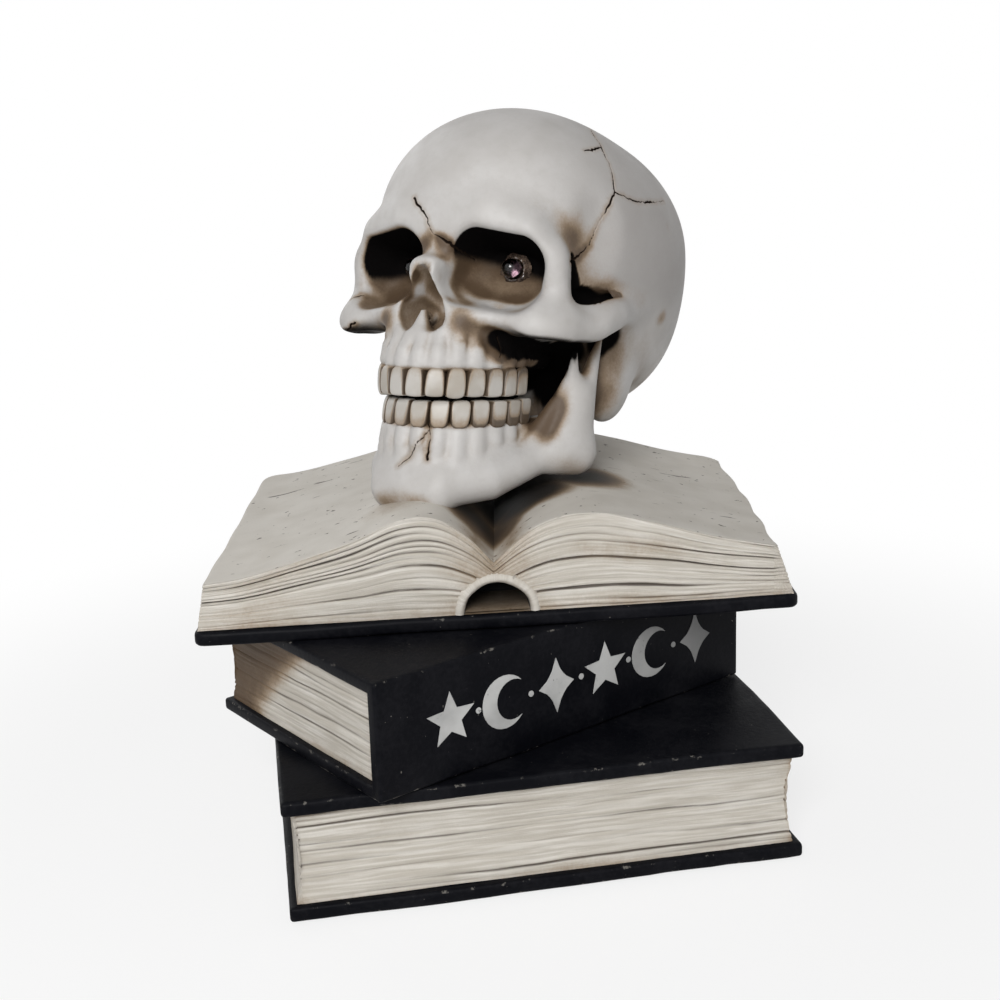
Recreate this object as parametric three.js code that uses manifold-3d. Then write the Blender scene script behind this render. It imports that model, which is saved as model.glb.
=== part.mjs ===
// Halloween decoration: a skull with lit eye sockets on a stack of three old books.
// The skull and the books are separate castings glued together. The bottom book holds a
// battery box with a hinged door and a slide switch on its underside, and two thin leads
// climb through a duct in the stack to a light in each eye socket.
// Millimetres, +Z up, the fore-edge of the bottom book towards -Y.
// The origin is under the middle of the whole object, on the surface that it stands on.

import * as THREE from 'three';
import { mergeVertices } from 'three/addons/utils/BufferGeometryUtils.js';
import Module from 'manifold-3d';

const wasm = await Module();
wasm.setup();

// Driving dimensions

const glueGap = 0.3; // glue line between castings, and play round moulded parts
const round = 20; // sides of a round cutter

const bottomBook = {
  length: 130, depth: 104, height: 31, board: 3.65, spine: 3.6,
  square: 2.4, sag: 1.7, chamfer: 0.8, spineRound: 2.4, leaves: 8, leafGroove: 0.35,
};
const middleBook = {
  length: 120, depth: 78.5, height: 30, board: 3.3, spine: 3.4,
  square: 2.2, sag: 1.2, chamfer: 0.7, spineRound: 1.6, leaves: 8, leafGroove: 0.35,
  left: 23.1, front: -6.6, turn: 27.4,
};
const openBook = {
  width: 152.4, depth: 104, board: 3.7, chamfer: 1.1, corner: 2.6, shear: 0.075,
  left: -17.9, front: 29.3, turn: -5.9,
};
// Section across the open pages, from the fore-edge on the left to the one on the right
const openPages = {
  footLeft: 1.0, footRight: 151.2, square: 1.6, edgeLift: 4,
  leftPage: [[3.4, 11.9], [12.6, 12.9], [25, 16], [40, 20.4], [52, 25.2], [61, 25.2], [69, 20], [75, 13.2]],
  rightPage: [[75, 13.2], [83.5, 20.4], [92, 23.9], [102, 24.3], [114, 21.6], [131, 16.6], [146.8, 13.2]],
  curveSteps: 22, depthSteps: 4,
};
const spineHollow = { middle: 75.6, halfWidth: 8.2, height: 7.6, reach: 18 };

const duct = { x: 74, y: 83, radius: 3.4 }; // way for the leads, straight up through the stack

// Skull pose: the face is turned to the viewer's left and tipped up a little
const skullPose = { x: 76.4, y: 85.4, overPages: 41, turn: -44.1, tip: -13.9, lean: -0.4 };
const skullCell = { face: 3.6, back: 9, side: 4.4, crown: 9 };
// Reach of the skull's grid
const skullRoom = { side: 50, face: -54, brow: -16, nape: 64, foot: -58, eyes: 28, crown: 66 };
const jawCell = 3.9;
const jawRoom = { side: 40, face: -54, back: 14, foot: -62, top: 6 };
const seatGap = 0.85; // between the skull and what it stands on
const jawGap = 0.9; // between the jaw and the cranium
const biteTilt = 0.13; // rise of the bite towards the back teeth
const biteFront = -44.5; // where the tilt starts, at the front teeth

// Forms of the cranium, in its own frame: face to -Y, eye level near Z 9; each right-hand form is mirrored
const vault = { at: [0, 10, 20.5], radii: [40.2, 48.4, 36] };
const forehead = { at: [0, -9, 25], radii: [34, 32, 30] };
const nape = { at: [0, 25, 2], radii: [32.5, 30, 27] };
const cheekMass = { at: [14, -20, 6], radii: [19, 13, 17] };
const noseMass = { at: [0, -26, 2], radii: [8, 10, 13] };
const maxilla = { at: [0, -25.5, -9], radii: [16.4, 17, 11] };
const cheekbone = { at: [26.8, -31.6, -5.8], radii: [8.6, 7.4, 6.6] };
const mastoid = { at: [25.5, 9.5, -13], radii: [6.5, 10.5, 14] };
const cheekHollow = { at: [27, -25, -16.5], radii: [11.4, 17, 9.6] };
const fossa = { at: [18.8, -39, -11.6], radii: [8, 8.4, 5.2] };
const templeHollow = { at: [40.3, -21.5, 18], radii: [7, 8.5, 17] };
const mouthHollow = { at: [0, -18, -27], radii: [15, 20, 12] };
const brainHollow = { at: [0, 16, 20], radii: [30, 28, 28] };
// Bars are chains of points with their radius: x, y, z, r
const browBar = [[0, -32.4, 22, 4], [13, -36, 22, 4.2], [24, -33.6, 18.4, 4.4], [29.5, -29.4, 11.5, 4]];
const orbitBar = [[29.5, -29, 12, 3.8], [30.6, -28.6, 4, 4], [29.3, -30.2, -4, 5]];
const cheekBar = [[27, -32, -4.5, 4.8], [18, -36.5, -4.8, 4], [11, -39, -3, 3.6]];
const cheekArch = [[32, -26, -5.6, 4.8], [35.6, -16, -2.8, 4], [36.2, -8, 0.2, 3.2],
  [34.3, 0, 2.6, 2.4], [32.6, 8, 4.4, 2]];
const cheekArchTop = [[32.5, -24.5, -2, 3], [35.8, -15, 0.4, 2.6], [36.3, -7, 2.2, 2],
  [34.2, 0, 3.8, 1.6], [32, 8, 5, 1.4]];
const noseBridge = [[0, -32, 19, 3.2], [0, -33.2, 14, 2.6], [0, -43.5, 7.2, 3.2]];
const noseRim = [[2.2, -43, 6.8, 3], [6.2, -41.6, 0.4, 3], [8.2, -41, -5.4, 2.8], [6, -41.3, -8.6, 2.2]];
const noseWall = [[2.4, -33.6, 11.5, 2.2], [6, -37.6, 4, 3.4], [10.5, -37, -4, 4.6]];
const noseSpine = [[0, -43.6, -9, 1.6], [0, -43.4, -4.4, 0.8], [0, -36, -3.6, 0.9]];
const templeSlot = [[31.6, -23.8, 14, 0.6], [31.2, -23, 9, 2], [31.4, -22.2, 3.8, 2.9],
  [33.6, -14, 4.6, 2.2], [35.4, -5.5, 5.9, 1.2]];
const noseHoleTop = { at: [0, -46, 0.4], radii: [4.4, 13, 6.6] };
const noseHoleFoot = { at: [3.6, -45, -4.2], radii: [3.4, 12, 4] };
const eyeSocket = {
  at: [16.7, -36, 8.2], halfWidth: 13, halfHeight: 8.7, corner: 7,
  turn: 12, droop: 11, depth: 11, slope: 0.6, taper: 0.3,
};
const upperGum = {
  low: -16, high: -8.5, fall: 0.24, taper: 0.018, radius: 2.8, halfWidth: 16.6, reach: 20.2, middle: -25,
};
const neck = { topRadius: 12, footRadius: 10, top: 118, ductOver: 20 };

// Forms of the jaw, in the same frame
const jawBar = [[0, -40, -47.5, 6.2], [7.5, -39, -47.5, 6.2], [15.5, -30, -44.6, 6],
  [22.5, -17, -38.2, 4.4], [27.6, -7.8, -36.4, 5.2]];
const chinBar = [[0, -41.8, -50.6, 4.2], [7, -41, -50.6, 4.2]];
const ramusBack = [[28, -7.6, -35.5, 4.6], [28.5, -6, -21, 3], [28.8, -3.4, -11, 1.7], [29, -1, -4, 0.6]];
const ramusFront = [[25.5, -14, -36, 4], [27, -10.8, -22, 2.8], [27.5, -11.4, -9, 1.3]];
const ramusPlate = [[27, -10.5, -34, 4.2], [28, -8.6, -20, 2.4]];
const lowerGum = {
  low: -44, high: -34.5, fall: 0, taper: 0, radius: 3, halfWidth: 16.4, reach: 19.2, middle: -22.5,
};

// Teeth stand round each arch, as many on either side of the middle
const tooth = { width: 4.95, between: 0.55, thickness: 4.8, perSide: 7 };
const upperTeeth = { tip: -24.9, neck: -15.4, halfWidth: 17.4, reach: 20.8, middle: -25.8 };
const lowerTeeth = { tip: -26.4, neck: -35, halfWidth: 17, reach: 20.2, middle: -23.3 };

// Eye lights: a 5 mm lamp in a stepped bore, set in a bead of clear glue
const eyeLight = {
  radius: 2.5, flangeRadius: 2.9, flange: 1, length: 8.6,
  offset: 0.9, height: 10.3, domeDepth: 8.3, wireBore: 1.7,
};
const glueBead = { radius: 4.8, height: 2.2, floorDepth: 12 };
const lead = { radius: 0.8, apart: 1.4, sides: 3, steps: 28 };

// Battery box in the bottom book, seen from below: the cells lie along X, the switch is at +X
const cell = { radius: 5.25, length: 43.6, nub: 0.9, nubRadius: 1.9, apart: 0.8 };
const box = {
  x: 58, y: 50, wall: 1.5, roof: 1.5, contactRoom: 2.6, sidePlay: 0.4, flangeMargin: 6, corner: 2,
};
const door = {
  thickness: 1.8, recess: 0.3, lap: 1, play: 0.35, pinRadius: 0.6, pinLength: 1.2, notch: 4, tongue: 4.5,
};
const switchBay = { length: 14, height: 9 };
const board = { thickness: 1.2 };
const slideSwitch = {
  length: 13, width: 6.4, height: 4.4, slot: 2, knob: 3, knobFoot: 5, travel: 4, recess: 1.5,
};
const contact = { thickness: 0.4, bow: 1.5, width: 8, height: 8 };
const screw = { headRadius: 2.4, shankRadius: 1.25, head: 1.4, length: 9, inset: 3 };
const pad = { radius: 5.5, thickness: 0.8, inset: 11 };

// Colours and finishes

function finish(color, roughness, metalness = 0) {
  return new THREE.MeshStandardMaterial({ color, roughness, metalness });
}
const look = {
  bone: () => finish(0xcdc8c1, 0.55),
  paper: () => finish(0xbdb6a9, 0.75),
  cloth: () => finish(0x121317, 0.5),
  lamp: () => finish(0xe6e8ea, 0.08),
  glue: () => finish(0xb7aa98, 0.2),
  lead: () => finish(0x2a2a2c, 0.5),
  shell: () => finish(0x1c1c1e, 0.45),
  cell: () => finish(0x3b4a52, 0.35, 0.4),
  steel: () => finish(0xa9abad, 0.3, 0.9),
  circuit: () => finish(0x2f5a3a, 0.5),
  felt: () => finish(0x202020, 0.95),
};

// Solids: closed geometries that can be joined and cut

function solid(geometry) {
  const bare = geometry.clone();
  for (const name of Object.keys(bare.attributes)) if (name !== 'position') bare.deleteAttribute(name);
  const merged = mergeVertices(bare, 1e-4);
  const index = merged.index.array;
  const kept = [];
  for (let i = 0; i < index.length; i += 3) {
    const [a, b, c] = [index[i], index[i + 1], index[i + 2]];
    if (a !== b && b !== c && c !== a) kept.push(a, b, c);
  }
  return new wasm.Manifold(new wasm.Mesh({
    numProp: 3,
    vertProperties: new Float32Array(merged.attributes.position.array),
    triVerts: new Uint32Array(kept),
  }));
}

function surface(body) {
  const mesh = body.getMesh();
  const geometry = new THREE.BufferGeometry();
  geometry.setAttribute('position', new THREE.BufferAttribute(new Float32Array(mesh.vertProperties), 3));
  geometry.setIndex(new THREE.BufferAttribute(new Uint32Array(mesh.triVerts), 1));
  return geometry;
}

function cut(geometry, ...tools) {
  return surface(tools.reduce((body, tool) => body.subtract(solid(tool)), solid(geometry)));
}

function join(geometry, ...others) {
  return surface(others.reduce((body, other) => body.add(solid(other)), solid(geometry)));
}

// A box given by its corners
function block(x0, x1, y0, y1, z0, z1) {
  const geometry = new THREE.BoxGeometry(x1 - x0, y1 - y0, z1 - z0);
  return geometry.translate((x0 + x1) / 2, (y0 + y1) / 2, (z0 + z1) / 2);
}

// An upright round bar between two heights
function post(x, y, z0, z1, r0, r1 = r0, sides = round) {
  const geometry = new THREE.CylinderGeometry(r1, r0, z1 - z0, sides);
  return geometry.rotateX(Math.PI / 2).translate(x, y, (z0 + z1) / 2);
}

// A turned piece on the Z axis: its (radius, height) pairs end on the axis or close on themselves
function turned(profile, sides = round) {
  const points = profile.map(([r, z]) => new THREE.Vector2(r, z));
  return new THREE.LatheGeometry(points, sides).rotateX(Math.PI / 2);
}

// A section in (y, z) drawn along X, with its ends chamfered
function barAlongX(shape, length, chamfer) {
  const geometry = new THREE.ExtrudeGeometry(shape, {
    depth: length - 2 * chamfer, bevelEnabled: true, bevelSegments: 1,
    bevelThickness: chamfer, bevelSize: chamfer, bevelOffset: -chamfer, curveSegments: 4,
  });
  const axes = new THREE.Matrix4().makeBasis(
    new THREE.Vector3(0, 1, 0), new THREE.Vector3(0, 0, 1), new THREE.Vector3(1, 0, 0));
  return geometry.translate(0, 0, chamfer).applyMatrix4(axes);
}

// A closed skin over rings with the same number of points, capped at both ends
function loft(rings) {
  const sides = rings[0].length;
  const positions = rings.flat(2);
  const index = [];
  for (let k = 0; k + 1 < rings.length; k++) {
    for (let i = 0; i < sides; i++) {
      const [a, b] = [k * sides + i, k * sides + (i + 1) % sides];
      index.push(a, b, b + sides, a, b + sides, a + sides);
    }
  }
  const last = (rings.length - 1) * sides;
  for (let i = 1; i + 1 < sides; i++) index.push(0, i + 1, i, last, last + i, last + i + 1);
  const geometry = new THREE.BufferGeometry();
  geometry.setAttribute('position', new THREE.Float32BufferAttribute(positions, 3));
  geometry.setIndex(index);
  return geometry.toNonIndexed();
}

// Rounded rectangle in plan
function roundedRect(x0, x1, y0, y1, r) {
  const shape = new THREE.Shape();
  shape.moveTo(x0 + r, y0).lineTo(x1 - r, y0).absarc(x1 - r, y0 + r, r, -Math.PI / 2, 0);
  shape.lineTo(x1, y1 - r).absarc(x1 - r, y1 - r, r, 0, Math.PI / 2);
  shape.lineTo(x0 + r, y1).absarc(x0 + r, y1 - r, r, Math.PI / 2, Math.PI);
  shape.lineTo(x0, y0 + r).absarc(x0 + r, y0 + r, r, Math.PI, Math.PI * 1.5);
  return shape;
}

// Closed books: X along the spine, Y from the spine to the fore-edge, Z up

function bookCover(book) {
  const { length, depth, height, board: b, spine, chamfer: c, spineRound: r } = book;
  const section = new THREE.Shape();
  section.moveTo(r, 0).lineTo(depth - c, 0).lineTo(depth, c).lineTo(depth, b - c).lineTo(depth - c, b);
  section.lineTo(spine, b).lineTo(spine, height - b);
  section.lineTo(depth - c, height - b).lineTo(depth, height - b + c).lineTo(depth, height - c);
  section.lineTo(depth - c, height).lineTo(r, height);
  section.absarc(r, height - r, r, Math.PI / 2, Math.PI);
  section.lineTo(0, r).absarc(r, r, r, Math.PI, Math.PI * 1.5);
  return barAlongX(section, length, c);
}

// The leaves stand back from the boards; their three open sides are hollowed and grooved
function bookPages(book) {
  const { length, depth, height, board: b, spine, square, sag, leaves, leafGroove } = book;
  const [low, high] = [b + glueGap, height - b - glueGap];
  const levels = leaves * 2;
  const rings = [];
  for (let i = 0; i <= levels; i++) {
    const t = i / levels;
    const z = low + (high - low) * t;
    const inset = square + sag * 4 * t * (1 - t) + (i % 2 ? leafGroove : 0);
    rings.push([
      [inset, spine + glueGap, z], [length - inset, spine + glueGap, z],
      [length - inset, depth - inset, z], [inset, depth - inset, z],
    ]);
  }
  return loft(rings);
}

// Places of the pieces

const degrees = Math.PI / 180;
const middleBase = bottomBook.height + glueGap;
const openBase = middleBase + middleBook.height + glueGap;
const pagesBase = openBase + openBook.board + glueGap;

function placed(x, y, z, turn) {
  const group = new THREE.Group();
  group.position.set(x, y, z);
  group.rotation.z = turn * degrees;
  group.updateMatrixWorld();
  return group;
}
const bottomGroup = placed(bottomBook.length, bottomBook.depth, 0, 180);
const middleGroup = placed(middleBook.left, middleBook.front, middleBase, middleBook.turn);
const openGroup = placed(openBook.left, openBook.front, openBase, openBook.turn);

// Open book

const half = (openPages.footLeft + openPages.footRight) / 2;
const curve = (points) => new THREE.SplineCurve(points.map(([u, z]) => new THREE.Vector2(u, z)));
const pageLine = [
  ...curve(openPages.leftPage).getPoints(openPages.curveSteps),
  ...curve(openPages.rightPage).getPoints(openPages.curveSteps).slice(1),
];

// Leaves lift towards the back on the left page, and the whole block leans with the cover
const lift = (u, v) => openPages.edgeLift * (v / openBook.depth) * Math.max(0, 1 - u / half);

// Height of the pages over the cover's foot at a place on the open book
function pageTop(u, v) {
  const along = u - openBook.shear * v;
  const line = pageLine;
  if (along <= line[0].x || along >= line[line.length - 1].x) return 0;
  const i = line.findIndex((p) => p.x > along);
  const [a, b] = [line[i - 1], line[i]];
  return a.y + (b.y - a.y) * (along - a.x) / (b.x - a.x) + lift(along, v);
}

function openCover() {
  const shape = roundedRect(0, openBook.width, 0, openBook.depth, openBook.corner);
  const c = openBook.chamfer;
  const plate = new THREE.ExtrudeGeometry(shape, {
    depth: openBook.board - 2 * c, bevelEnabled: true, bevelSegments: 1, curveSegments: 3,
    bevelThickness: c, bevelSize: c, bevelOffset: -c,
  });
  plate.translate(0, 0, c).applyMatrix4(new THREE.Matrix4().makeShear(0, 0, openBook.shear, 0, 0, 0));
  const at = openGroup.worldToLocal(new THREE.Vector3(duct.x, duct.y, 0));
  return cut(plate, post(at.x, at.y, -1, openBook.board + 1, duct.radius));
}

function openPageBlock() {
  const section = new THREE.Shape([
    new THREE.Vector2(openPages.footLeft, 0), new THREE.Vector2(openPages.footRight, 0),
    ...pageLine.slice().reverse(),
  ]);
  const depth = openBook.depth - 2 * openPages.square;
  const block3 = new THREE.ExtrudeGeometry(section, {
    depth, steps: openPages.depthSteps, bevelEnabled: false,
  });
  const place = block3.attributes.position;
  for (let i = 0; i < place.count; i++) {
    const [u, z, v] = [place.getX(i), place.getY(i), depth - place.getZ(i) + openPages.square];
    const raised = z > 0 ? z + lift(u, v) : z;
    place.setXYZ(i, u + openBook.shear * v, v, raised);
  }
  const base = openBook.board + glueGap;
  block3.translate(0, 0, base);
  const { middle, halfWidth, height, reach } = spineHollow;
  const hollows = [openPages.square, openBook.depth - openPages.square].map((v) => {
    const arch = new THREE.CylinderGeometry(1, 1, 2 * reach, 16);
    return arch.scale(halfWidth, 1, height).translate(middle + openBook.shear * v, v, base);
  });
  const at = openGroup.worldToLocal(new THREE.Vector3(duct.x, duct.y, 0));
  const ductTop = pageTop(at.x, at.y) + 2 * openBook.board + base;
  return cut(block3, ...hollows, post(at.x, at.y, 0, ductTop, duct.radius));
}

// Skull: blended forms, skinned on a grid

const skullGroup = new THREE.Group();
skullGroup.position.set(skullPose.x, skullPose.y, pagesBase + skullPose.overPages + 24.3);
skullGroup.rotation.set(skullPose.tip * degrees, skullPose.lean * degrees, skullPose.turn * degrees, 'ZXY');
skullGroup.updateMatrixWorld();

// Blends of distances: joined, and cut, with a fillet of about k
const blend = (a, b, k) => Math.min(a, b) - Math.max(k - Math.abs(a - b), 0) ** 2 / (4 * k);
const carve = (a, b, k) => -blend(-a, b, k);

function egg(p, { at, radii }) {
  let [far, slope] = [0, 0];
  for (let i = 0; i < 3; i++) {
    const q = (p[i] - at[i]) / radii[i];
    far += q * q;
    slope += (q / radii[i]) ** 2;
  }
  const k = Math.sqrt(far);
  return k * (k - 1) / Math.max(Math.sqrt(slope), 1e-6);
}

function bar(p, points) {
  let nearest = Infinity;
  for (let i = 0; i + 1 < points.length; i++) {
    const [a, b] = [points[i], points[i + 1]];
    const along = [b[0] - a[0], b[1] - a[1], b[2] - a[2]];
    const from = [p[0] - a[0], p[1] - a[1], p[2] - a[2]];
    const span = along[0] ** 2 + along[1] ** 2 + along[2] ** 2;
    const t = Math.min(1, Math.max(0, (from[0] * along[0] + from[1] * along[1] + from[2] * along[2]) / span));
    const far = Math.hypot(from[0] - t * along[0], from[1] - t * along[1], from[2] - t * along[2]);
    nearest = Math.min(nearest, far - a[3] - (b[3] - a[3]) * t);
  }
  return nearest;
}

// Upright bar bent round the dental arch: half an ellipse in front, straight legs behind.
// The arch narrows upwards by its taper, and the top falls towards the back teeth.
function gum(p, { low, high, fall, taper, radius, halfWidth, reach, middle }) {
  const [x, y] = [p[0], p[1] - middle];
  const z = p[2] - biteTilt * (p[1] - biteFront);
  const front = Math.min(y, 0);
  const shrink = 1 - taper * Math.min(Math.max(z - low, 0), 4 * radius);
  const [wide, deep] = [halfWidth * shrink, reach * shrink];
  const k = Math.hypot(x / wide, front / deep);
  const slope = Math.hypot(x / wide ** 2, front / deep ** 2);
  let aside = Math.abs(y < 0 ? k * (k - 1) / Math.max(slope, 1e-6) : x - wide);
  const leg = reach * 0.7;
  if (y > leg) aside = Math.hypot(aside, y - leg);
  const top = high - fall * Math.max(p[1] - biteFront, 0);
  const above = Math.max(low - z, z - top, 0);
  return Math.hypot(aside, above) - radius;
}

// Rounded square funnel that narrows with depth; its floor comes forward
const socketTurn = new THREE.Matrix4().makeRotationZ(eyeSocket.turn * degrees)
  .multiply(new THREE.Matrix4().makeRotationY(eyeSocket.droop * degrees)).invert();
function socket(p) {
  const { at, halfWidth, halfHeight, corner, depth, slope, taper } = eyeSocket;
  const q = new THREE.Vector3(p[0] - at[0], p[1] - at[1], p[2] - at[2]).applyMatrix4(socketTurn);
  const narrow = Math.min(1.25, Math.max(1 - taper, 1 - q.y / depth * taper));
  const dx = Math.abs(q.x) - (halfWidth - corner) * narrow;
  const dz = Math.abs(q.z) - (halfHeight - corner) * narrow;
  const wall = Math.hypot(Math.max(dx, 0), Math.max(dz, 0)) + Math.min(Math.max(dx, dz), 0) - corner * narrow;
  return carve(wall, -(q.y - depth - slope * q.z), 5);
}

// Height over the open pages, for a point in the skull's frame
const world = new THREE.Vector3();
function overPages(p) {
  world.set(p[0], p[1], p[2]).applyMatrix4(skullGroup.matrixWorld);
  const onBook = openGroup.worldToLocal(world.clone());
  return onBook.z - openBook.board - glueGap - pageTop(onBook.x, onBook.y);
}

// Stub of neck round the duct, from the skull's base down to the pages
function neckBar(p) {
  world.set(p[0], p[1], p[2]).applyMatrix4(skullGroup.matrixWorld);
  const t = Math.min(1, Math.max(0, (world.z - pagesBase) / (neck.top - pagesBase)));
  const around = neck.footRadius + (neck.topRadius - neck.footRadius) * t;
  const side = Math.hypot(world.x - duct.x, world.y - duct.y) - around;
  return Math.max(side, world.z - neck.top);
}

function craniumForm(point) {
  const p = [Math.abs(point[0]), point[1], point[2]];
  let d = egg(p, vault);
  d = blend(d, egg(p, forehead), 10);
  d = blend(d, egg(p, nape), 12);
  d = blend(d, egg(p, cheekMass), 6);
  d = blend(d, egg(p, noseMass), 4);
  d = blend(d, bar(p, browBar), 7);
  d = blend(d, bar(p, orbitBar), 4);
  d = blend(d, egg(p, cheekbone), 4);
  d = blend(d, bar(p, cheekBar), 4);
  d = blend(d, bar(p, cheekArch), 6);
  d = blend(d, bar(p, cheekArchTop), 5);
  d = blend(d, egg(p, maxilla), 5);
  d = carve(d, egg(p, cheekHollow), 5);
  d = carve(d, egg(p, fossa), 4);
  d = blend(d, gum(p, upperGum), 4);
  d = blend(d, bar(p, noseRim), 2.5);
  d = blend(d, bar(p, noseWall), 4);
  d = carve(d, socket(p), 2.6);
  d = blend(d, bar(p, noseBridge), 4);
  d = carve(d, blend(egg(p, noseHoleFoot), egg(p, noseHoleTop), 2), 1.6);
  d = blend(d, bar(p, noseSpine), 1.6);
  d = carve(d, egg(p, templeHollow), 5);
  d = carve(d, bar(p, templeSlot), 1.6);
  d = carve(d, egg(p, mouthHollow), 4);
  d = blend(d, egg(p, mastoid), 6);
  d = blend(d, neckBar(point), 6);
  return Math.max(d, seatGap - overPages(point));
}

function jawForm(point) {
  const p = [Math.abs(point[0]), point[1], point[2]];
  let d = bar(p, jawBar);
  d = blend(d, bar(p, chinBar), 4);
  d = blend(d, gum(p, lowerGum), 4);
  d = blend(d, bar(p, ramusBack), 5);
  d = blend(d, bar(p, ramusFront), 5);
  d = blend(d, bar(p, ramusPlate), 4);
  d = Math.max(d, seatGap - overPages(point));
  return Math.max(d, jawGap - craniumForm(point));
}

// Grid lines from a start, by (end, step) runs
function gridLines(start, ...runs) {
  const lines = [start];
  for (const [end, step] of runs) {
    const from = lines[lines.length - 1];
    const count = Math.max(1, Math.round((end - from) / step));
    for (let i = 1; i <= count; i++) lines.push(from + (end - from) * i / count);
  }
  return lines;
}

// Closed skin of a form: one vertex in each grid cell that the surface crosses, drawn onto the surface,
// and one quad for each grid edge that it crosses
function skin(form, xs, ys, zs) {
  const size = [xs.length, ys.length, zs.length];
  const node = (i, j, k) => (k * size[1] + j) * size[0] + i;
  const value = new Float64Array(size[0] * size[1] * size[2]);
  for (let k = 0; k < size[2]; k++) {
    for (let j = 0; j < size[1]; j++) {
      for (let i = 0; i < size[0]; i++) value[node(i, j, k)] = form([xs[i], ys[j], zs[k]]);
    }
  }
  fillPinches(value, size, node);

  const corner = [0, 1, 2, 3, 4, 5, 6, 7].map((n) => [n & 1, (n >> 1) & 1, n >> 2]);
  const edges = [];
  for (let a = 0; a < 8; a++) for (const bit of [1, 2, 4]) if (!(a & bit)) edges.push([a, a | bit]);
  const vertexOf = new Map();
  const positions = [];
  for (let k = 0; k + 1 < size[2]; k++) {
    for (let j = 0; j + 1 < size[1]; j++) {
      for (let i = 0; i + 1 < size[0]; i++) {
        const v = corner.map(([a, b, c]) => value[node(i + a, j + b, k + c)]);
        const sum = [0, 0, 0];
        let count = 0;
        for (const [a, b] of edges) {
          if ((v[a] < 0) === (v[b] < 0)) continue;
          const t = v[a] / (v[a] - v[b]);
          const at = (n) => [xs[i + corner[n][0]], ys[j + corner[n][1]], zs[k + corner[n][2]]];
          const [from, to] = [at(a), at(b)];
          for (let axis = 0; axis < 3; axis++) sum[axis] += from[axis] + (to[axis] - from[axis]) * t;
          count++;
        }
        if (!count) continue;
        const low = [xs[i], ys[j], zs[k]];
        const high = [xs[i + 1], ys[j + 1], zs[k + 1]];
        vertexOf.set(node(i, j, k), positions.length);
        positions.push(drawnOnto(form, sum.map((s) => s / count), low, high));
      }
    }
  }

  const triangles = [];
  const quad = (cells, inward) => {
    const ids = cells.map((cell) => vertexOf.get(cell));
    if (inward) ids.reverse();
    const [a, b, c, d] = ids.map((id) => positions[id]);
    const far = (p, q) => Math.hypot(p[0] - q[0], p[1] - q[1], p[2] - q[2]);
    const order = far(a, c) <= far(b, d) ? [0, 1, 2, 0, 2, 3] : [0, 1, 3, 1, 2, 3];
    for (const n of order) triangles.push(ids[n]);
  };
  for (let k = 1; k + 1 < size[2]; k++) {
    for (let j = 1; j + 1 < size[1]; j++) {
      for (let i = 1; i + 1 < size[0]; i++) {
        const inside = value[node(i, j, k)] < 0;
        if (inside !== (value[node(i + 1, j, k)] < 0)) {
          quad([node(i, j - 1, k - 1), node(i, j, k - 1), node(i, j, k), node(i, j - 1, k)], !inside);
        }
        if (inside !== (value[node(i, j + 1, k)] < 0)) {
          quad([node(i - 1, j, k - 1), node(i - 1, j, k), node(i, j, k), node(i, j, k - 1)], !inside);
        }
        if (inside !== (value[node(i, j, k + 1)] < 0)) {
          quad([node(i - 1, j - 1, k), node(i, j - 1, k), node(i, j, k), node(i - 1, j, k)], !inside);
        }
      }
    }
  }
  const geometry = new THREE.BufferGeometry();
  geometry.setAttribute('position', new THREE.Float32BufferAttribute(positions.flat(), 3));
  geometry.setIndex(triangles);
  return geometry;
}

// Grid nodes that meet only at an edge or a corner would pinch the skin, so the nearest one is filled
function fillPinches(value, size, node) {
  const filled = -1e-3;
  const faces = [[[1, 0, 0], [0, 1, 0]], [[0, 1, 0], [0, 0, 1]], [[0, 0, 1], [1, 0, 0]]];
  const throughCell = [
    [[0, 0, 0], [1, 1, 1]], [[1, 0, 0], [0, 1, 1]], [[0, 1, 0], [1, 0, 1]], [[0, 0, 1], [1, 1, 0]],
  ];
  let changed = true;
  while (changed) {
    changed = false;
    for (let k = 0; k + 1 < size[2]; k++) {
      for (let j = 0; j + 1 < size[1]; j++) {
        for (let i = 0; i + 1 < size[0]; i++) {
          const at = (a, b, c) => node(i + a, j + b, k + c);
          for (const [s, t] of faces) {
            const ring = [at(0, 0, 0), at(...s), at(s[0] + t[0], s[1] + t[1], s[2] + t[2]), at(...t)];
            const inside = ring.map((n) => value[n] < 0);
            if (inside[0] !== inside[2] || inside[1] !== inside[3] || inside[0] === inside[1]) continue;
            const open = inside[0] ? [ring[1], ring[3]] : [ring[0], ring[2]];
            value[value[open[0]] < value[open[1]] ? open[0] : open[1]] = filled;
            changed = true;
          }
          for (const [a, b] of throughCell) {
            const [first, second] = [at(...a), at(...b)];
            const inside = value[first] < 0;
            if ((value[second] < 0) !== inside) continue;
            let alone = true;
            for (let n = 0; n < 8; n++) {
              const other = at(n & 1, (n >> 1) & 1, n >> 2);
              if (other !== first && other !== second && (value[other] < 0) === inside) alone = false;
            }
            if (!alone) continue;
            value[inside ? at(b[0], a[1], a[2]) : first] = filled;
            changed = true;
          }
        }
      }
    }
  }
}

// Newton steps from a point to the surface, kept in its grid cell
function drawnOnto(form, start, low, high) {
  const p = start.slice();
  const step = 0.05;
  for (let turn = 0; turn < 3; turn++) {
    const here = form(p);
    const slope = [0, 1, 2].map((axis) => {
      const ahead = p.slice();
      ahead[axis] += step;
      return (form(ahead) - here) / step;
    });
    const steep = slope[0] ** 2 + slope[1] ** 2 + slope[2] ** 2;
    if (steep < 1e-3) break;
    for (let axis = 0; axis < 3; axis++) {
      const margin = 0.05 * (high[axis] - low[axis]);
      const moved = p[axis] - here * slope[axis] / steep;
      p[axis] = Math.min(high[axis] - margin, Math.max(low[axis] + margin, moved));
    }
  }
  return p;
}

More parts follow.
